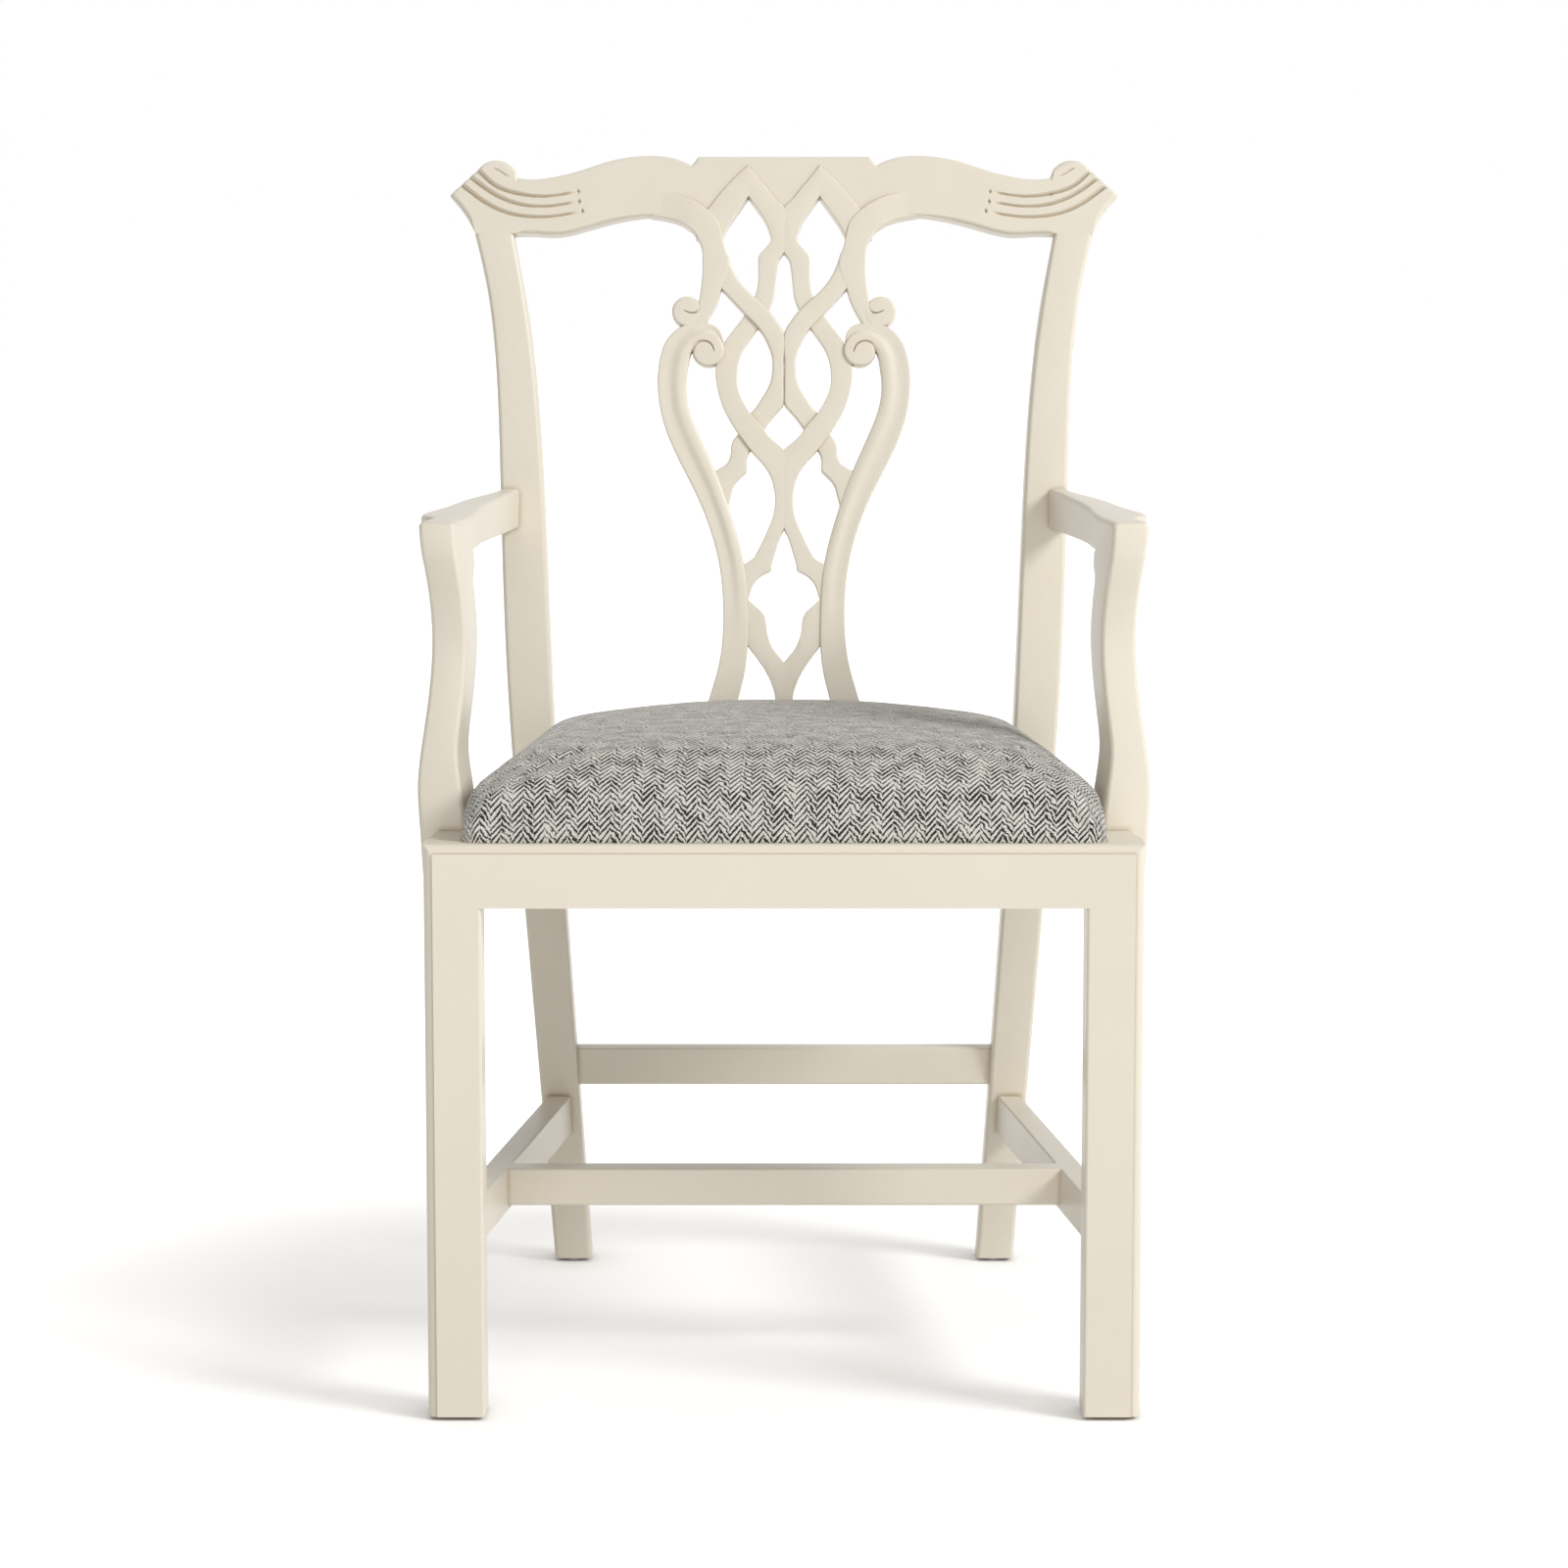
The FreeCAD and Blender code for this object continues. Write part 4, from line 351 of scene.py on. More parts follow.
def ring_mesh(name, grid):
    """Mesh of closed rings, one for each row of the grid: the ends are capped, and the faces look out."""
    rows, columns = grid.shape[:2]
    points = grid.reshape(-1, 3)
    faces = quads(rows, columns)
    caps = [np.arange(columns)[::-1], np.arange(columns) + (rows - 1) * columns]
    fans = [np.stack([np.full(columns - 2, c[0]), c[1:-1], c[2:], c[2:]], -1) for c in caps]
    if volume(points, np.concatenate([faces, *fans])) < 0:
        faces = faces[:, ::-1]
        caps = [c[::-1] for c in caps]
    mesh = bpy.data.meshes.new(name)
    mesh.from_pydata(points.tolist(), [], faces.tolist() + [c.tolist() for c in caps])
    return mesh


def piece_of(name, grid, material, body, sharp=35.0):
    """Piece from the rings of a grid."""
    return finish_piece(name, ring_mesh(name, grid), material, body, sharp)


def painted(name, grid, sharp=35.0):
    """Painted piece of the chair's frame from the rings of a grid."""
    return piece_of(name, grid, bpy.data.materials["ivory_paint"], FRAME_BODY, sharp)


def vertex_values(mesh, name):
    """Places or normals of a mesh's vertices, one row each."""
    values = np.zeros(len(mesh.vertices) * 3)
    mesh.vertices.foreach_get(name, values)
    return values.reshape(-1, 3)


def lay_cloth(mesh, uv):
    """UV map of a cloth in metres, from a place for each vertex."""
    corner = np.zeros(len(mesh.loops), int)
    mesh.loops.foreach_get("vertex_index", corner)
    mesh.uv_layers.new(name="weave").data.foreach_set("uv", uv[corner].ravel())


def finish_piece(name, mesh, material, body, sharp=35.0):
    """Object of a mesh: smooth between its sharp edges, with its material, riding on its body."""
    mesh.validate()
    mesh.polygons.foreach_set("use_smooth", np.ones(len(mesh.polygons), bool))
    mesh.set_sharp_from_angle(angle=math.radians(sharp))
    mesh.materials.append(material)
    piece = bpy.data.objects.new(name, mesh)
    bpy.context.scene.collection.objects.link(piece)
    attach(piece, body)
    return piece


def edges_of(rows, count):
    """Both edges and the level of a strap: half its width to each side of the spline through its middle."""
    line = smooth(rows, count)
    along = unit(np.gradient(line[:, :2], axis=0))
    across = np.stack([-along[:, 1], along[:, 0]], -1) * line[:, 2:3] / 2
    return line[:, :2] + across, line[:, :2] - across, line[:, 3]


def strap_grid(side, first, second, front, back, radius, bead=None):
    """Rings of a strap between two edge curves in the back's plane.

    Round the ring go a quarter circle at each front edge, the front between them, the sides and the back.
    A bead changes the front by a function of the share from the first edge to the second, and dies away
    towards the strap's end.
    """
    width, front, back = np.linalg.norm(second - first, axis=1)[:, None], front[:, None], back[:, None]
    quarter = np.linspace(0.0, math.pi / 2, 6)
    r = np.minimum(radius, 0.45 * width)
    inner = r + (width - 2 * r) * np.linspace(0.0, 1.0, 33 if bead else 3)[1:-1]
    curve, dip = r * (1 - np.cos(quarter)), r * (1 - np.sin(quarter))
    low = back + STRAP_CHAMFER
    across = [curve, inner, width - curve[:, ::-1],
              width, width - STRAP_CHAMFER, STRAP_CHAMFER + 0 * width, 0 * width]
    level = [front - dip, front + 0 * inner, front - dip[:, ::-1], low, back, back, low]
    share, level = np.concatenate(across, 1) / width, np.concatenate(level, 1)
    if bead:
        left = 1 - eased((np.linspace(0, 1, len(width)) - 0.5) / 0.35)
        level[:, :-4] += bead(share[:, :-4]) * left[:, None]
    spot = first[:, None] + (second - first)[:, None] * share[..., None]
    return in_back(side * spot[..., 0], spot[..., 1], level)


def scroll_bead(share):
    """Broad bead on the scroll's outer half that falls into a hollow and rises to a flat inner edge."""
    dome = -BEAD_FALL * np.clip((0.3 - share) / 0.3, 0, 1) ** 2
    hollow = -HOLLOW_FALL * eased((share - 0.28) / 0.34)
    return dome + hollow + FLAT_RISE * eased((share - 0.66) / 0.3)


def carved_cut(x, y, path, depth):
    """Depth of a tapering V cut along a path of (x, y, half width), at each point."""
    line = smooth(path, 120)
    d = np.hypot(x[..., None] - line[:, 0], y[..., None] - line[:, 1]) / line[:, 2]
    return depth * np.clip(1 - d.min(-1), 0.0, 1.0)


# Materials

def node(tree, kind, inputs=None, **settings):
    """Add a node, set its settings, and set or link its inputs by name or number."""
    made = tree.nodes.new(kind)
    for key, value in settings.items():
        setattr(made, key, value)
    for key, value in (inputs or {}).items():
        if isinstance(value, bpy.types.NodeSocket):
            tree.links.new(value, made.inputs[key])
        else:
            made.inputs[key].default_value = value
    return made


def new_material(name):
    """An empty material with its output and principled shader."""
    material = bpy.data.materials.new(name)
    material.use_nodes = True
    tree = material.node_tree
    tree.nodes.clear()
    shader = node(tree, "ShaderNodeBsdfPrincipled")
    node(tree, "ShaderNodeOutputMaterial", {"Surface": shader.outputs["BSDF"]})
    return material, tree, shader


def colours():
    """The panel's colours."""
    return bpy.context.scene.armchair_colours


def sizes():
    """The panel's sizes."""
    return bpy.context.scene.armchair_sizes


def shown_white(tree):
    """1 for rays that show the white ground itself, to the camera, through glass and in metal, and else 0."""
    seen = node(tree, "ShaderNodeLightPath").outputs
    shown = seen["Is Camera Ray"]
    for ray in ("Is Transmission Ray", "Is Glossy Ray"):
        shown = node(tree, "ShaderNodeMath", {0: shown, 1: seen[ray]}, operation="MAXIMUM").outputs[0]
    return shown


def ivory_paint():
    """Semi-gloss ivory paint on beech: a broad drift of tone, faint streaks of the brush, and painted shade
    in corners.
    """
    material, tree, shader = new_material("ivory_paint")
    place = node(tree, "ShaderNodeTexCoord").outputs["Object"]
    # Tone drifts over about 60 mm, and brush marks are about 1.5 mm wide and 60 mm long
    drift = node(tree, "ShaderNodeTexNoise",
                 {"Vector": place, "Scale": PER_MM / 60, "Detail": 3.0}).outputs["Fac"]
    stretched = node(tree, "ShaderNodeMapping",
                     {"Vector": place, "Scale": (PER_MM / 1.5, PER_MM / 1.5, PER_MM / 60)}).outputs["Vector"]
    brush = node(tree, "ShaderNodeTexNoise",
                 {"Vector": stretched, "Scale": 1.0, "Detail": 2.0}).outputs["Fac"]
    tone = node(tree, "ShaderNodeMix", {"Factor": drift, 6: colours().paint_warm, 7: colours().paint},
                data_type="RGBA")
    streak = node(tree, "ShaderNodeMapRange",
                  {"Value": brush, "From Min": 0.3, "From Max": 0.7, "To Min": 0.993, "To Max": 1.005})
    shade = node(tree, "ShaderNodeMix", {"Factor": 1.0, 6: tone.outputs[2], 7: streak.outputs["Result"]},
                 data_type="RGBA", blend_type="MULTIPLY")
    gloss = node(tree, "ShaderNodeMapRange", {"Value": brush, "To Min": 0.3, "To Max": 0.38})
    # Painted shade: the paint turns brown in the quirks and corners, by ambient occlusion over about 5 mm
    cover = node(tree, "ShaderNodeAmbientOcclusion", {"Distance": 5 * MM}, samples=4).outputs["AO"]
    clear = node(tree, "ShaderNodeMapRange", {"Value": cover, "From Min": 0.3, "From Max": 0.95})
    shade = node(tree, "ShaderNodeMix",
                 {"Factor": clear.outputs["Result"], 6: colours().corner_shade, 7: shade.outputs[2]},
                 data_type="RGBA")
    bump = node(tree, "ShaderNodeBump", {"Height": brush, "Strength": 0.03, "Distance": 0.2 * MM})
    tree.links.new(shade.outputs[2], shader.inputs["Base Color"])
    tree.links.new(gloss.outputs["Result"], shader.inputs["Roughness"])
    tree.links.new(bump.outputs["Normal"], shader.inputs["Normal"])
    shader.inputs["Specular IOR Level"].default_value = 0.4
    return material


def bare_beech():
    """Planed beech left bare: straight pale grain with short darker flecks."""
    material, tree, shader = new_material("bare_beech")
    place = node(tree, "ShaderNodeTexCoord").outputs["Object"]
    # Grain lines about 3 mm apart run along X, and flecks are about 0.6 by 4 mm
    scales = [(PER_MM / run, PER_MM / wide, PER_MM / wide) for run, wide in ((80, 3), (4, 0.6))]
    lines, dots = (node(tree, "ShaderNodeMapping", {"Vector": place, "Scale": scale}).outputs["Vector"]
                   for scale in scales)
    grain = node(tree, "ShaderNodeTexNoise", {"Vector": lines, "Scale": 1.0, "Detail": 4.0}).outputs["Fac"]
    fleck = node(tree, "ShaderNodeTexNoise", {"Vector": dots, "Scale": 1.0}).outputs["Fac"]
    wood = node(tree, "ShaderNodeMix", {"Factor": grain, 6: colours().beech, 7: colours().beech_dark},
                data_type="RGBA")
    spot = node(tree, "ShaderNodeMapRange",
                {"Value": fleck, "From Min": 0.62, "From Max": 0.75, "To Min": 1.0, "To Max": 0.75})
    shade = node(tree, "ShaderNodeMix", {"Factor": 1.0, 6: wood.outputs[2], 7: spot.outputs["Result"]},
                 data_type="RGBA", blend_type="MULTIPLY")
    bump = node(tree, "ShaderNodeBump", {"Height": fleck, "Strength": 0.1, "Distance": 0.2 * MM})
    tree.links.new(shade.outputs[2], shader.inputs["Base Color"])
    tree.links.new(bump.outputs["Normal"], shader.inputs["Normal"])
    shader.inputs["Roughness"].default_value = 0.6
    return material


def zinc_steel():
    """Zinc-plated steel of screws and glides: a dull grey metal with fine handling marks."""
    material, tree, shader = new_material("zinc_steel")
    place = node(tree, "ShaderNodeTexCoord").outputs["Object"]
    # Marks about 0.5 mm across
    marks = node(tree, "ShaderNodeTexNoise",
                 {"Vector": place, "Scale": PER_MM / 0.5, "Detail": 3.0}).outputs["Fac"]
    tone = node(tree, "ShaderNodeMix", {"Factor": marks, 6: colours().steel, 7: colours().steel_dark},
                data_type="RGBA")
    rough = node(tree, "ShaderNodeMapRange", {"Value": marks, "To Min": 0.3, "To Max": 0.5})
    tree.links.new(tone.outputs[2], shader.inputs["Base Color"])
    tree.links.new(rough.outputs["Result"], shader.inputs["Roughness"])
    shader.inputs["Metallic"].default_value = 1.0
    return material


def woven(name, first, second, thread, roughness):
    """Plain weave on the piece's UV map in metres: warp and weft waves a thread apart raise and shade it."""
    material, tree, shader = new_material(name)
    place = node(tree, "ShaderNodeUVMap", uv_map="weave").outputs["UV"]
    turns = node(tree, "ShaderNodeVectorMath", {0: place, 1: (math.pi / thread, math.pi / thread, 0.0)},
                 operation="MULTIPLY")
    parts = node(tree, "ShaderNodeSeparateXYZ", {0: turns.outputs["Vector"]})
    warp, weft = (node(tree, "ShaderNodeMath", {0: parts.outputs[axis]}, operation="SINE").outputs[0]
                  for axis in ("X", "Y"))
    cross = node(tree, "ShaderNodeMath", {0: warp, 1: weft}, operation="MULTIPLY").outputs[0]
    fuzz = node(tree, "ShaderNodeTexNoise", {"Vector": place, "Scale": 0.7 / thread, "Detail": 3.0})
    height = node(tree, "ShaderNodeMapRange", {"Value": cross, "From Min": -1.0}).outputs["Result"]
    mixed = node(tree, "ShaderNodeMath", {0: height, 1: fuzz.outputs["Fac"]}, operation="MULTIPLY").outputs[0]
    tone = node(tree, "ShaderNodeMix", {"Factor": mixed, 6: first, 7: second}, data_type="RGBA")
    bump = node(tree, "ShaderNodeBump", {"Height": mixed, "Strength": 0.5, "Distance": 0.3 * thread})
    tree.links.new(tone.outputs[2], shader.inputs["Base Color"])
    tree.links.new(bump.outputs["Normal"], shader.inputs["Normal"])
    shader.inputs["Roughness"].default_value = roughness
    return material


def herringbone_tweed():
    """Wool tweed in a herringbone twill: slubby black and off-white stripes that turn at each column."""
    material, tree, shader = new_material("herringbone_tweed")
    place = node(tree, "ShaderNodeUVMap", uv_map="weave").outputs["UV"]
    parts = node(tree, "ShaderNodeSeparateXYZ", {0: place})
    value = {"x": parts.outputs["X"], "y": parts.outputs["Y"]}
    # Slubs of the yarn are about 7 mm long, fibres 1.2 mm across and patches of tone 16 mm wide
    for name, size, detail, rough in (("slub", 7, 4.0, 0.65), ("fine", 1.2, 2.0, 0.5),
                                      ("patch", 16, 3.0, 0.5)):
        inputs = {"Vector": place, "Scale": PER_MM / size, "Detail": detail, "Roughness": rough}
        value[name] = node(tree, "ShaderNodeTexNoise", inputs).outputs["Fac"]
    column = sizes().tweed_column
    stripe = sizes().tweed_stripe
    # Each column's stripes climb to its edge and fall again, every other column a third of a stripe on
    for name, operation, first, second in (
            ("wander", "SUBTRACT", "slub", 0.5), ("wander", "MULTIPLY", "wander", 6.0 * MM),
            ("across", "ADD", "x", "wander"), ("across", "DIVIDE", "across", column),
            ("turn", "PINGPONG", "across", 1.0), ("odd", "ADD", "across", 1000.0),
            ("odd", "MODULO", "odd", 2.0), ("odd", "FLOOR", "odd", 0.0), ("odd", "MULTIPLY", "odd", 0.3),
            ("run", "ADD", "y", "wander"), ("run", "DIVIDE", "run", stripe),
            ("phase", "MULTIPLY", "turn", 1.3 * column / stripe), ("phase", "ADD", "phase", "run"),
            ("phase", "ADD", "phase", "odd"), ("wave", "PINGPONG", "phase", 0.5),
            ("rag", "SUBTRACT", "fine", 0.5), ("rag", "MULTIPLY", "rag", 0.7), ("wave", "ADD", "wave", "rag"),
            ("fleck", "SUBTRACT", "patch", 0.5), ("fleck", "MULTIPLY", "fleck", 0.55),
            ("wave", "ADD", "wave", "fleck")):
        inputs = {0: value.get(first, first), 1: value.get(second, second)}
        value[name] = node(tree, "ShaderNodeMath", inputs, operation=operation).outputs[0]
    light = node(tree, "ShaderNodeMapRange", {"Value": value["wave"], "From Min": 0.18, "From Max": 0.255},
                 interpolation_type="SMOOTHSTEP").outputs["Result"]
    yarn = node(tree, "ShaderNodeMix",
                {"Factor": value["fine"], 6: colours().tweed_light, 7: colours().tweed_grey},
                data_type="RGBA")
    tone = node(tree, "ShaderNodeMix", {"Factor": light, 6: colours().tweed_dark, 7: yarn.outputs[2]},
                data_type="RGBA")
    bump = node(tree, "ShaderNodeBump", {"Height": light, "Strength": 0.4, "Distance": 0.6 * MM})
    tree.links.new(tone.outputs[2], shader.inputs["Base Color"])
    tree.links.new(bump.outputs["Normal"], shader.inputs["Normal"])
    shader.inputs["Roughness"].default_value = 0.92
    shader.inputs["Sheen Weight"].default_value = 0.4
    return material


def studio_floor():
    """Matt white paper that takes the shadow, whiter the further from the chair, with painted shade by the
    feet.
    """
    material = bpy.data.materials.new("white_paper")
    material.use_nodes = True
    tree = material.node_tree
    tree.nodes.clear()
    place = node(tree, "ShaderNodeTexCoord").outputs["Object"]
    away = node(tree, "ShaderNodeVectorMath", {0: place}, operation="LENGTH")
    white = node(tree, "ShaderNodeMapRange",
                 {"Value": away.outputs["Value"], "From Min": 0.3, "From Max": 1.1,
                  "To Min": sizes().floor_glow, "To Max": 1.0}, interpolation_type="SMOOTHSTEP")
    # Painted contact shadow: within about 50 mm of the feet, ambient occlusion takes the paper's glow away
    cover = node(tree, "ShaderNodeAmbientOcclusion", {"Distance": 50 * MM})
    glow = shown_white(tree)
    for share in (cover.outputs["AO"], white.outputs["Result"]):
        glow = node(tree, "ShaderNodeMath", {0: glow, 1: share}, operation="MULTIPLY").outputs[0]
    paper = node(tree, "ShaderNodeBsdfDiffuse", {"Color": linear("#f0f0f0")})
    light = node(tree, "ShaderNodeEmission", {"Color": linear("#ffffff"), "Strength": glow})
    both = node(tree, "ShaderNodeAddShader", {0: paper.outputs[0], 1: light.outputs[0]})
    node(tree, "ShaderNodeOutputMaterial", {"Surface": both.outputs[0]})
    return material


# Pieces

class ARMCHAIR_OT_finishes(bpy.types.Operator):
    """Give the carried-over joinery, screws and glides their finishes"""
    bl_idname = "armchair.finishes"
    bl_label = "Finish the joinery"

    def execute(self, context):
        for material in list(bpy.data.materials):
            material.name = "packed_" + material.name
        made = {"ivory_paint": ivory_paint(), "bare_beech": bare_beech(), "steel": zinc_steel()}
        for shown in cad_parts.values():
            slot = shown.data.materials[0].name.replace("packed_", "")
            if slot in made:
                shown.data.materials[0] = made[slot]
        return {"FINISHED"}


def bent_line(start, corner, end, z):
    """Depth at heights z on two lines that meet at a corner, rounded there by a parabola."""
    start, corner, end = (np.array(p) for p in (start, corner, end))
    first, last = corner + unit(start - corner) * KNEE_REACH, corner + unit(end - corner) * KNEE_REACH
    t = np.linspace(0, 1, 40)[:, None]
    curve = first * (1 - t) ** 2 + corner * 2 * t * (1 - t) + last * t ** 2
    line = np.concatenate([[start], curve, [end]])
    return np.interp(z, line[:, 1], line[:, 0])


def edges_at(rows, z):
    """Both edges at heights z, on splines through rows of height, first edge and second edge."""
    line = smooth(rows, 400)
    return [np.interp(z, line[:, 0], line[:, edge]) for edge in (1, 2)]


def joinery(name, x, y, z, replaced):
    """Painted piece from rings in mm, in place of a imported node."""
    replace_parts(painted(name, np.stack([x, y, z], -1) * MM), replaced)


def post(side, word, edge):
    """Rear post: a section between two edges seen from the front and two from the side, its top square."""
    sine, cosine = math.sin(RAKE), math.cos(RAKE)
    top = KNEE_Z + POST_TOP * cosine
    z = np.linspace(GLIDE_HEIGHT, top, 120)
    outer, inner = edges_at(POST_EDGES, z)
    reach = POST_TOP + POST_SPARE
    end = (KNEE_Y + reach * sine, KNEE_Z + reach * cosine)
    fore = bent_line((POST_FOOT_Y, GLIDE_HEIGHT), (KNEE_Y, KNEE_Z), end, z)
    rear = bent_line((POST_HEEL_Y, GLIDE_HEIGHT), (KNEE_Y + POST_DEPTH, KNEE_Z),
                     (end[0] + POST_TOP_DEPTH * cosine, end[1] - POST_TOP_DEPTH * sine), z)
    x, y = rounded_rings(inner, outer, fore, rear, (edge, edge, POST_REAR_EDGE, POST_REAR_EDGE))
    tilt = eased((z - top + POST_TILT) / POST_TILT)[:, None]
    z = z[:, None] - tilt * (y - fore[:, None]) * math.tan(RAKE)
    joinery("post_" + word, side * x, y, z, "rear_post_" + word)


def arm_support(side, word, edge):
    """Arm support: a section like the post's, turned with the side rail, its head rounded over."""
    over = np.linspace(0, math.pi / 2, 8)[1:]
    z = np.concatenate([np.linspace(SUPPORT_FOOT, ARM_TOP - edge, 110), ARM_TOP - edge * (1 - np.sin(over))])
    inset = np.concatenate([np.zeros(110), edge * (1 - np.cos(over))])
    outer, inner = edges_at(SUPPORT_FRONT, z)
    fore, rear = edges_at(SUPPORT_SIDE, z)
    out, back = rounded_rings(inner + inset, outer - inset, fore + inset, rear - inset,
                              (edge, edge, SUPPORT_REAR_EDGE, SUPPORT_REAR_EDGE))
    x = SUPPORT_X + out * math.cos(SUPPORT_TURN) - back * math.sin(SUPPORT_TURN)
    y = SUPPORT_Y + out * math.sin(SUPPORT_TURN) + back * math.cos(SUPPORT_TURN)
    joinery("support_" + word, side * x, y, z[:, None] + 0 * x, "arm_support_" + word)


def arm(side, word, edge):
    """Arm: flat on top with rounded upper edges, a notch behind the hand, thicker towards the post."""
    rows = np.concatenate([smooth(ARM_HAND, 30), smooth(ARM_RUN, 90)[1:]])
    run = (rows[:, 0] - ARM_RUN[0][0]) / (ARM_RUN[-1][0] - ARM_RUN[0][0])
    swell = np.sin(math.pi / 2 * np.clip(run, 0, 1))
    top, bottom = ARM_TOP + ARM_PROUD + ARM_SWELL[0] * swell, ARM_BOTTOM - ARM_SWELL[1] * swell
    x, z = rounded_rings(rows[:, 2], rows[:, 1], bottom, top, (ARM_LOWER_EDGE, ARM_LOWER_EDGE, edge, edge))
    joinery("arm_top_" + word, side * x, rows[:, :1] + 0 * x, z, "arm_" + word)


class ARMCHAIR_OT_uprights(bpy.types.Operator):
    """Rear posts, arm supports and arms, with the soft edges of the painted joinery"""
    bl_idname = "armchair.uprights"
    bl_label = "Shape the posts and arms"

    def execute(self, context):
        for side, word in SIDES:
            for shape in (post, arm_support, arm):
                shape(side, word, sizes().post_edge / MM)
        return {"FINISHED"}


def crest_edges(half):
    """Lower and upper edge of the crest's field at half distances from the centre line."""
    upper = np.concatenate([CREST_FLAT, smooth(CREST_UPPER, 200), smooth(EAR_SCROLL, 60), [EAR_TIP]])
    lower = np.concatenate([smooth(COVERED_EDGE + CREST_LOWER, 300), smooth(EAR_RISE, 60)])
    return np.interp(half, lower[:, 0], lower[:, 1]), np.interp(half, upper[:, 0], upper[:, 1])


def reeding(half, height):
    """Depth of the ear's quirks: a wall above each line, wider to the ear, a steep one below, and a stop."""
    depth = np.zeros_like(height)
    for rows in REEDING:
        line = smooth(rows[::-1], 160)
        at = np.interp(half, line[:, 0], line[:, 1])
        slope = np.interp(half, line[:, 0], np.gradient(line[:, 1], line[:, 0]))
        off = (height - at) / np.sqrt(1 + slope ** 2)
        run = (half - line[0, 0]) / (line[-1, 0] - line[0, 0])
        wide, deep = (np.interp(eased(run), (0, 1), ends) for ends in (QUIRK_WALL, QUIRK_DEPTH))
        wall = np.clip(1 - np.where(off > 0, off / wide, -off / QUIRK_FOOT), 0, 1)
        stop = np.clip(1 - np.abs(half - line[0, 0] + 1.0) / 2.0 - np.abs(height - line[0, 1]) / 3.0, 0, 1)
        depth = np.maximum(depth, np.maximum(deep * wall * eased(8 * run), STOP_DEPTH * stop))
    return depth


def flat_strap(name, side, rows, back, thins=None, edge=1.0):
    """Painted strap of the back between its two edges, its back at one level.

    It thins to the splat's thickness from a share of its length, over another share. The left strap is a hair
    higher, to cover the right one where they meet at the centre.
    """
    line = smooth(rows, 12 * len(rows), 4)
    hair = 0.02 * (side < 0)
    back = np.full(len(line), back - hair)
    if thins:
        back += (SPLAT_BACK - CREST_BACK - 0.2) * eased((np.linspace(0, 1, len(line)) - thins[0]) / thins[1])
    return painted(name, strap_grid(side, line[:, :2], line[:, 2:4], line[:, 4] + hair, back,
                                    edge * sizes().strap_edge / MM))


class ARMCHAIR_OT_crest(bpy.types.Operator):
    """Crest rail with eared ends, and the arches and shoulder straps carved on it"""
    bl_idname = "armchair.crest"
    bl_label = "Carve the crest"

    def execute(self, context):
        tip = EAR_TIP[0]
        corners = [curve[end][0] for curve in (CREST_FLAT, CREST_UPPER, EAR_SCROLL, CREST_LOWER, EAR_RISE)
                   for end in (0, -1)]
        half = np.unique(np.concatenate([np.linspace(0, 165, 100), np.linspace(165, tip, 230), corners]))
        half[-1] = tip - 0.05
        x = np.concatenate([-half[::-1], half[1:]])
        low, high = crest_edges(np.abs(x))
        # Rows lie close together by both edges
        near = np.array([0.0, 0.12, 0.4, 0.85, 1.45, 2.2, 3.2, 4.5])
        squeeze = np.minimum(1.0, (high - low) / 12.0)[:, None]
        first = low[:, None] + near * squeeze
        last = high[:, None] - near[::-1] * squeeze
        middle = first[:, -1:] + (last[:, :1] - first[:, -1:]) * np.linspace(0, 1, 98)[1:-1]
        height = np.concatenate([first, middle, last], 1)
        across = np.abs(x)[:, None] + 0 * height
        # Both edges are rounded, the ear's scroll most; the lower is flush over the posts
        foot = CREST_CRISP + (sizes().crest_edge / MM - CREST_CRISP) * eased((across - 118.0) / 40.0)
        foot *= 1.001 - eased((across - 230.0) / 12.0) * eased((277.0 - across) / 5.0)
        head = CREST_HEAD + (EAR_HEAD - CREST_HEAD) * eased(1 - np.abs(across - 247.0) / 18.0)
        below = (height - low[:, None]) / np.sqrt(1 + np.gradient(low, x)[:, None] ** 2)
        above = (high[:, None] - height) / np.sqrt(1 + np.gradient(high, x)[:, None] ** 2)
        level = foot * (np.sqrt(1 - (1 - np.clip(below / foot, 0, 1)) ** 2) - 1)
        level += head * (np.sqrt(1 - (1 - np.clip(above / head, 0, 1)) ** 2) - 1)
        level -= np.maximum(reeding(across, height), carved_cut(across, height, EAR_EYE, EYE_DEPTH))
        rear = height[:, [-1, -4, 3, 0]]
        level = np.concatenate([level, CREST_BACK + np.array([0.8, 0.0, 0.0, 0.8]) + 0 * rear], 1)
        height = np.concatenate([height, rear], 1)
        field = painted("crest_field", in_back(x[:, None] + 0 * height, height, level))
        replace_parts(field, "crest_rail")
        # Each strap's back is a hair off the next one's, and the crest's is the furthest back
        for side, word in SIDES:
            for name, rows, hair, thins in (("arch_leg_", ARCH_LEG, 0.15, None),
                                            ("arch_cross_", ARCH_CROSS, 0.25, (0.5, 0.1)),
                                            ("shoulder_strap_", SHOULDER_STRAP, 0.35, (0.45, 0.15))):
                flat_strap(name + word, side, rows, CREST_BACK + hair, thins)
        return {"FINISHED"}


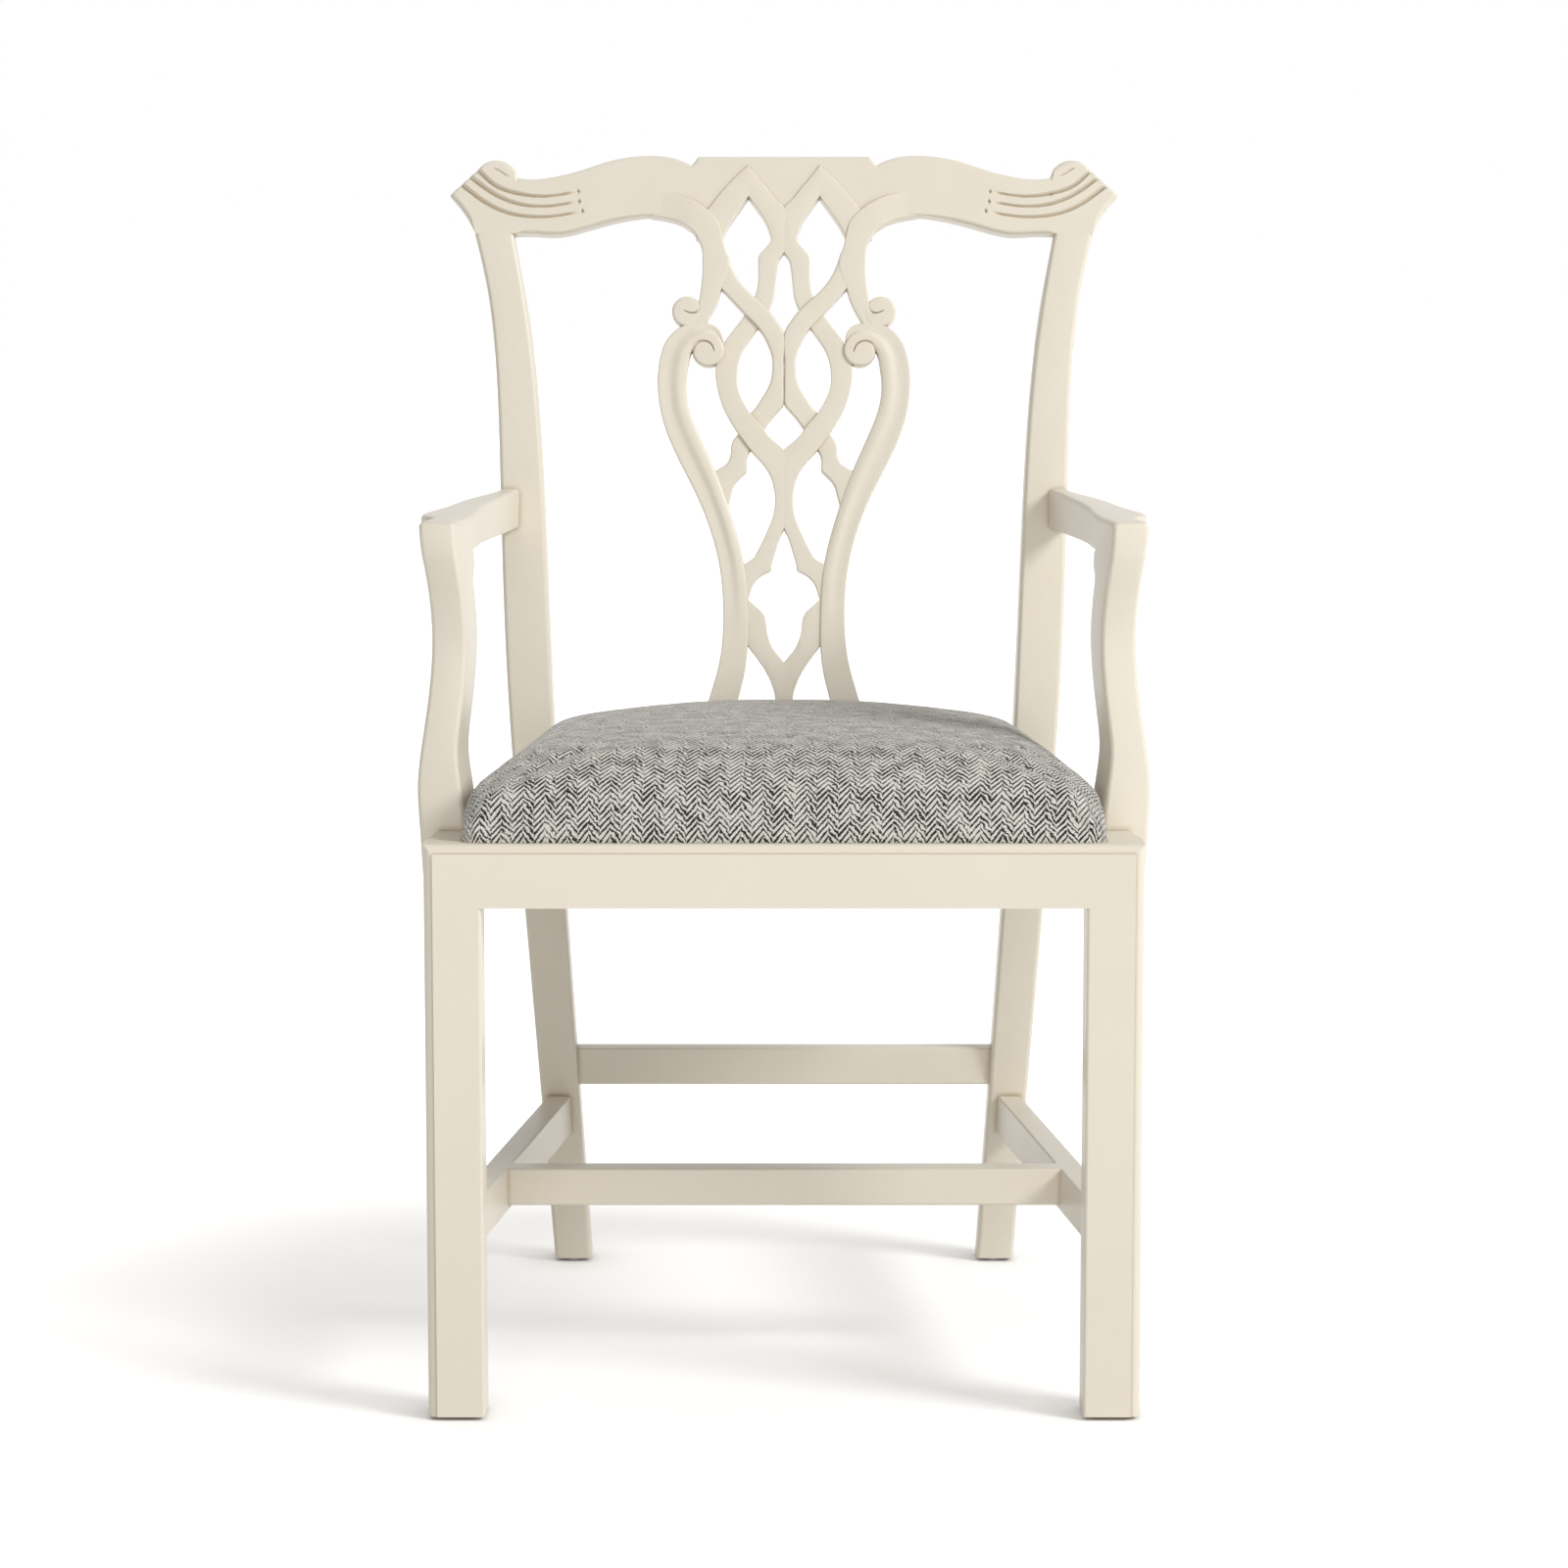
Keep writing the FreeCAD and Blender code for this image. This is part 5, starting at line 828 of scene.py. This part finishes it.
def volute_grid(side, middle, radius, level, joined, cut):
    """Rings of a volute: a low dome with a spiral cut, its rim rounded where it is free, and a back."""
    r = np.concatenate([np.linspace(0.01, 0.88, 36), 1 - 0.12 * np.cos(np.linspace(0.2, math.pi / 2, 8))])
    turn = np.linspace(0, 2 * math.pi, 129)[:-1]
    x, y = radius * r[:, None] * np.cos(turn), radius * r[:, None] * np.sin(turn)
    rim = np.clip((r - 0.84) / 0.16, 0, 1)
    front = (level + VOLUTE_DOME * (1 - r ** 2))[:, None]
    free = eased((0.75 - np.cos(turn - joined)) / 0.6)
    height = front - VOLUTE_RIM * (1 - np.sqrt(1 - rim ** 2))[:, None] * free
    height -= carved_cut(x, y, cut, VOLUTE_CUT)
    x, y = (np.concatenate([part, part[-1:], part[-1:] * 0.02]) for part in (x, y))
    height = np.concatenate([height, np.full((2, len(turn)), SPLAT_BACK - 0.25)])
    return in_back(side * (middle[0] + x), middle[1] + y, height)


class ARMCHAIR_OT_splat(bpy.types.Operator):
    """Pierced splat: straps that pass over and under each other, scrolls and volutes"""
    bl_idname = "armchair.splat"
    bl_label = "Carve the splat"

    def execute(self, context):
        radius = sizes().strap_edge / MM
        for side, word in SIDES:
            for name, rows, edge, hair in (("waist_strap_", WAIST_STRAP, 1.7, 0.05),
                                           ("heart_strap_", HEART_STRAP, 1.0, 0.1),
                                           ("foot_strap_", FOOT_STRAP, 1.0, 0.15)):
                flat_strap(name + word, side, rows, SPLAT_BACK - hair, edge=edge)
            inner, outer, level = edges_of(C_SCROLL, 24 * len(C_SCROLL))
            back = np.full(len(level), SPLAT_BACK - 0.2)
            grid = strap_grid(side, outer, inner, level, back, radius, scroll_bead)
            scroll = painted("c_scroll_" + word, grid)
            for name, *form in VOLUTES:
                painted(name + "_volute_" + word, volute_grid(side, *form), sharp=50.0)
        half, top, foot = FOOT_BAR
        x = np.linspace(-half, half, 40)
        upper, lower = (np.stack([x, np.full_like(x, height)], -1) for height in (top, foot))
        grid = strap_grid(1, upper, lower, np.zeros_like(x), np.full_like(x, SPLAT_BACK), radius)
        painted("splat_foot", grid)
        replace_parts(scroll, "splat")
        return {"FINISHED"}


def seat_ring(inset, front, rear):
    """Rounded trapezium of the seat inset from the rebate: an arc at each corner, straight between them."""
    lean = math.atan2(SEAT_HALF_FRONT - SEAT_HALF_REAR, SEAT_REAR - SEAT_FRONT)
    y0, y1 = SEAT_FRONT + inset, SEAT_REAR - inset * (1 + REAR_DRAW * eased((inset - 8) / 40))
    half = np.interp([y0, y1], [SEAT_FRONT, SEAT_REAR], [SEAT_HALF_FRONT, SEAT_HALF_REAR])
    half -= inset / math.cos(lean)
    corners = np.array([(-half[0], y0), (half[0], y0), (half[1], y1), (-half[1], y1)])
    before, after = (unit(np.roll(corners, step, 0) - corners) for step in (1, -1))
    middle = unit(before + after)
    radius = np.array([front, front, rear, rear], float)[:, None]
    half_angle = np.arccos((before * middle).sum(1, keepdims=True))
    centre = middle * radius / np.sin(half_angle)
    start, end = (centre - along * radius / np.tan(half_angle) for along in (before, after))
    share = np.linspace(0, 1, CORNER_POINTS)[None, :, None]
    arc = -radius[:, None] * unit(start[:, None] * (1 - share) + end[:, None] * share)
    return ((corners + centre)[:, None] + arc).reshape(-1, 2)


def weave_map(mesh):
    """UV map in metres: across and along the cloth, which goes on down the sides as far as they drop."""
    points, normals = vertex_values(mesh, "co"), vertex_values(mesh, "normal")
    drop = points[:, 2:].max() - points[:, 2:]
    flat = np.abs(normals[:, :2]) + 1e-6
    share = eased((flat / flat.sum(1, keepdims=True) - 0.3) / 0.4)
    lay_cloth(mesh, points[:, :2] + np.sign(normals[:, :2]) * drop * share * np.minimum(1, 3 * flat))


def inflated(mesh):
    """The stuffed form: the mesh remeshed in voxels, then blown up as cloth held by its foot, up to a cap."""
    scene = bpy.context.scene
    start = bpy.data.objects.new("cushion_start", mesh)
    scene.collection.objects.link(start)
    start.modifiers.new("Remesh", "REMESH").voxel_size = sizes().cushion_voxel
    body = bpy.data.meshes.new_from_object(start.evaluated_get(bpy.context.evaluated_depsgraph_get()))
    bpy.data.objects.remove(start)
    cloth = bpy.data.objects.new("cushion_cloth", body)
    scene.collection.objects.link(cloth)
    rest = vertex_values(body, "co")
    held = cloth.vertex_groups.new(name="held")
    held.add(np.flatnonzero(rest[:, 2] < (RAIL_TOP + 1) * MM).tolist(), 1.0, "REPLACE")
    made = cloth.modifiers.new("Cloth", "CLOTH")
    made.settings.vertex_group_mass = "held"
    made.settings.use_pressure = True
    made.settings.uniform_pressure_force = sizes().cushion_pressure
    made.settings.effector_weights.gravity = 0.0
    made.settings.quality = 5
    for number in range(1, SWELL_FRAMES + 1):
        scene.frame_set(number)
    moved = vertex_values(cloth.evaluated_get(bpy.context.evaluated_depsgraph_get()).data, "co")
    travel = moved - rest
    reach = np.linalg.norm(travel, axis=1, keepdims=True) + 1e-9
    rest += travel * np.minimum(1.0, sizes().cushion_cap / reach)
    cloth.modifiers.clear()
    body.vertices.foreach_set("co", rest.ravel())
    body.update()
    scene.frame_set(1)
    bpy.data.objects.remove(cloth)
    return body


class ARMCHAIR_OT_cushion(bpy.types.Operator):
    """Stuffed drop-in seat in tweed, crowned and drawn in where it meets the rails"""
    bl_idname = "armchair.cushion"
    bl_label = "Stuff the seat"

    def execute(self, context):
        rings = np.array([np.c_[seat_ring(*form), np.full(4 * CORNER_POINTS, z)] for z, *form in CUSHION])
        x, y, z = np.moveaxis(rings, 2, 0)
        side = (x / SEAT_HALF_REAR) ** 2 * eased((z - 480) / 40)
        rings[..., 2] = z - SIDE_DROOP * side * (1 + eased(y / 110))
        body = inflated(ring_mesh("cushion_start", rings * MM))
        body.name = "seat_cushion"
        body.materials.clear()
        weave_map(body)
        tweed = herringbone_tweed()
        cushion = finish_piece("seat_cushion", body, tweed, SEAT_BODY, sharp=180.0)
        surface = cushion.modifiers.new("Subdivision", "SUBSURF")
        surface.levels = 1
        surface.render_levels = 1
        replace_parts(cushion, "seat_cover", "seat_foam")
        return {"FINISHED"}


def ribbon_grid(start, end, width, thick, lift):
    """Rings of a flat strap between two points in mm, raised along its length by the heights in lift."""
    share = np.linspace(0, 1, len(lift))
    start, end = np.array(start, float), np.array(end, float)
    line = start + (end - start) * share[:, None]
    line[:, 2] += lift
    along = (end - start) / np.linalg.norm(end - start)
    across = np.array([-along[1], along[0], 0.0])
    u = np.linspace(-0.5, 0.5, 9) * width
    ring_u = np.concatenate([u, u[::-1]])
    ring_z = np.concatenate([np.full(9, thick / 2), np.full(9, -thick / 2)])
    grid = line[:, None] + ring_u[None, :, None] * across
    grid[..., 2] += ring_z
    return grid * MM


class ARMCHAIR_OT_webbing(bpy.types.Operator):
    """Jute webbing under the stuffing, the cross straps woven over and under the long ones"""
    bl_idname = "armchair.webbing"
    bl_label = "Weave the webbing"

    def execute(self, context):
        jute = woven("jute_webbing", colours().jute, colours().jute_dark, 1.6 * MM, 0.95)
        for number in (1, 2, 3):
            for axis, direction, sign in ((1, "long", 1), (0, "cross", -1)):
                name = "webbing_%s_%d" % (direction, number)
                low, high = (np.array(corner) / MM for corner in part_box(name))
                start = (low + high) / 2
                end = start.copy()
                start[axis], end[axis] = low[axis], high[axis]
                away = (np.linspace(0, 1, 121)[:, None] - 0.5) * (high[axis] - low[axis]) - WEB_CROSSINGS
                parity = sign * np.array([1, -1, 1]) * (1 if number % 2 else -1)
                lift = 0.2 * (np.exp(-(away / 30.0) ** 2) * parity).sum(1)
                grid = ribbon_grid(start, end, high[1 - axis] - low[1 - axis], high[2] - low[2], lift)
                strap = piece_of("jute_%s_%d" % (direction, number), grid, jute, SEAT_BODY)
                lay_cloth(strap.data, vertex_values(strap.data, "co")[:, :2])
                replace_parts(strap, name)
        return {"FINISHED"}


class ARMCHAIR_OT_lining(bpy.types.Operator):
    """Black lining cloth tacked under the seat, pulled flat with a slight belly"""
    bl_idname = "armchair.lining"
    bl_label = "Tack on the lining"

    def execute(self, context):
        low, high = (np.array(corner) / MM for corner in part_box("dust_cover"))
        share = np.concatenate([np.linspace(0.02, 0.9, 24), np.linspace(0.9, 1.0, 6)[1:]])
        ring = seat_ring(low[1] - SEAT_FRONT, LINING_CORNER, LINING_CORNER)
        middle = ring.mean(0)
        grid = middle + (ring - middle) * share[:, None, None]
        level = high[2] - 0.1 - LINING_BELLY * (1 - share ** 2)[:, None] + 0 * grid[..., 0]
        top = np.concatenate([grid, level[..., None]], 2)
        under = top[::-1] - (0.0, 0.0, LINING_THICKNESS)
        cloth = piece_of("lining_cloth", np.concatenate([top, under]) * MM,
                         woven("lining_cloth", colours().lining, colours().lining_light, 1.0 * MM, 0.9),
                         SEAT_BODY)
        lay_cloth(cloth.data, vertex_values(cloth.data, "co")[:, :2])
        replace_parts(cloth, "dust_cover")
        return {"FINISHED"}


def area_light(name, place, aim, size, watts):
    """Round soft lamp at a place, turned to a point."""
    lamp = bpy.data.lights.new(name, "AREA")
    lamp.shape = "DISK"
    lamp.size = size
    lamp.energy = watts
    made = bpy.data.objects.new(name, lamp)
    made.location = place
    made.rotation_euler = (Vector(aim) - Vector(place)).to_track_quat("-Z", "Y").to_euler()
    bpy.context.scene.collection.objects.link(made)


def studio_world():
    """White all round where it is seen, and a dimmer, slightly warm light where it only lights the chair."""
    world = bpy.data.worlds.new("studio")
    world.use_nodes = True
    tree = world.node_tree
    tree.nodes.clear()
    white = shown_white(tree)
    strength = node(tree, "ShaderNodeMapRange", {"Value": white, "To Min": sizes().ambient, "To Max": 1.0})
    tint = node(tree, "ShaderNodeMix", {"Factor": white, 6: linear("#fffaf3"), 7: linear("#ffffff")},
                data_type="RGBA")
    back = node(tree, "ShaderNodeBackground",
                {"Color": tint.outputs[2], "Strength": strength.outputs["Result"]})
    node(tree, "ShaderNodeOutputWorld", {"Surface": back.outputs[0]})
    return world


class ARMCHAIR_OT_stage(bpy.types.Operator):
    """White floor, soft studio light from the right, and the camera"""
    bl_idname = "armchair.stage"
    bl_label = "Set the stage"

    def execute(self, context):
        scene = context.scene
        scene.view_settings.view_transform = "Standard"
        reach = 30.0
        mesh = bpy.data.meshes.new("paper_floor")
        corners = [(-reach, -reach, 0), (reach, -reach, 0), (reach, reach, 0), (-reach, reach, 0)]
        mesh.from_pydata(corners, [], [(0, 1, 2, 3)])
        mesh.materials.append(studio_floor())
        floor = bpy.data.objects.new("paper_floor", mesh)
        scene.collection.objects.link(floor)
        scene.world = studio_world()
        area_light("key", (5.3, -3.3, 4.6), (0, 0, 0.5), 2.6, sizes().key_watts)
        area_light("fill", (-0.6, -4.4, 0.8), (0, 0, 0.3), 2.0, sizes().fill_watts)
        lens = bpy.data.cameras.new("camera")
        lens.sensor_width = 36.0
        lens.lens = 101.475
        camera = bpy.data.objects.new("camera", lens)
        camera.location = (0.0, -3.6933, 0.9395)
        camera.rotation_euler = (math.radians(82.778), 0.0, 0.0)
        scene.collection.objects.link(camera)
        scene.camera = camera
        return {"FINISHED"}


class ArmchairSizes(bpy.types.PropertyGroup):
    """Sizes of the carving, cloth and light that a user would change"""
    post_edge: length_prop("Post edge", "Rounding of the posts', supports' and arms' edges", 4.0)
    crest_edge: length_prop("Crest edge", "Rounding of the crest's lower edge", 4.5)
    strap_edge: length_prop("Strap edge", "Rounding of the straps' front edges", 1.2)
    tweed_column: length_prop("Tweed column", "Width of a column of the herringbone", 8.5)
    tweed_stripe: length_prop("Tweed stripe", "Distance from stripe to stripe along a column", 6.2)
    cushion_voxel: length_prop("Cushion voxel", "Mesh size that the cushion is simulated at", 5.0)
    cushion_cap: length_prop("Cushion cap", "Furthest that a point of the cushion may swell", 6.0)
    cushion_pressure: amount_prop("Cushion pressure", "Air pressure that swells the cushion", 4.0)
    floor_glow: amount_prop("Floor glow", "White that the floor shows the camera by itself", 0.44)
    ambient: amount_prop("Ambient", "Light from all round", 0.36)
    key_watts: amount_prop("Key light", "Soft light from the right", 325.0, "POWER")
    fill_watts: amount_prop("Fill light", "Low light from the front", 30.0, "POWER")


class ArmchairColours(bpy.types.PropertyGroup):
    """Colours of the finishes"""
    paint: hex_prop("Paint", "Ivory paint", "#efe9db")
    paint_warm: hex_prop("Warm paint", "Ivory paint where it is warmer", "#ede5d4")
    # Painted shade: the brown that the paint turns where quirks and corners are occluded
    corner_shade: hex_prop("Glaze", "Brown glaze in the corners of the paint", "#c0b095")
    beech: hex_prop("Beech", "Bare wood", "#d9b98c")
    beech_dark: hex_prop("Dark beech", "Darker grain", "#c49d6b")
    steel: hex_prop("Steel", "Plated metal", "#b9babb")
    steel_dark: hex_prop("Dark steel", "Worn plating", "#8d8f91")
    tweed_dark: hex_prop("Dark yarn", "Black yarn of the tweed", "#161614")
    tweed_light: hex_prop("Light yarn", "Off-white yarn of the tweed", "#f6f4ee")
    tweed_grey: hex_prop("Grey yarn", "Shaded fibres of the off-white yarn", "#bdbbb4")
    jute: hex_prop("Jute", "Webbing", "#b08f5f")
    jute_dark: hex_prop("Dark jute", "Webbing between its threads", "#6f5736")
    lining: hex_prop("Lining", "Black lining cloth", "#1c1c1d")
    lining_light: hex_prop("Light lining", "Raised threads of the lining", "#3a3a3c")


PIECES = (ARMCHAIR_OT_finishes, ARMCHAIR_OT_uprights, ARMCHAIR_OT_crest, ARMCHAIR_OT_splat,
          ARMCHAIR_OT_cushion, ARMCHAIR_OT_webbing, ARMCHAIR_OT_lining, ARMCHAIR_OT_stage)


class ARMCHAIR_PT_panel(bpy.types.Panel):
    """The steps in order, with the sizes and colours"""
    bl_idname = "ARMCHAIR_PT_panel"
    bl_label = "Armchair"
    bl_space_type = "VIEW_3D"
    bl_region_type = "UI"
    bl_category = "Armchair"

    def draw(self, context):
        for step in PIECES:
            self.layout.operator(step.bl_idname)
        for group in (context.scene.armchair_sizes, context.scene.armchair_colours):
            for name in group.__annotations__:
                self.layout.prop(group, name)


CLASSES = (ArmchairSizes, ArmchairColours, *PIECES, ARMCHAIR_PT_panel)


def register():
    """Add the classes, and the sizes and colours to the scene."""
    for one in CLASSES:
        bpy.utils.register_class(one)
    bpy.types.Scene.armchair_sizes = bpy.props.PointerProperty(type=ArmchairSizes)
    bpy.types.Scene.armchair_colours = bpy.props.PointerProperty(type=ArmchairColours)


def unregister():
    """Take away what register added."""
    del bpy.types.Scene.armchair_colours
    del bpy.types.Scene.armchair_sizes
    for one in reversed(CLASSES):
        bpy.utils.unregister_class(one)


def main():
    """Run every step in order."""
    register()
    for step in PIECES:
        getattr(bpy.ops.armchair, step.bl_idname.split(".")[1])()


if __name__ == "__main__":
    main()
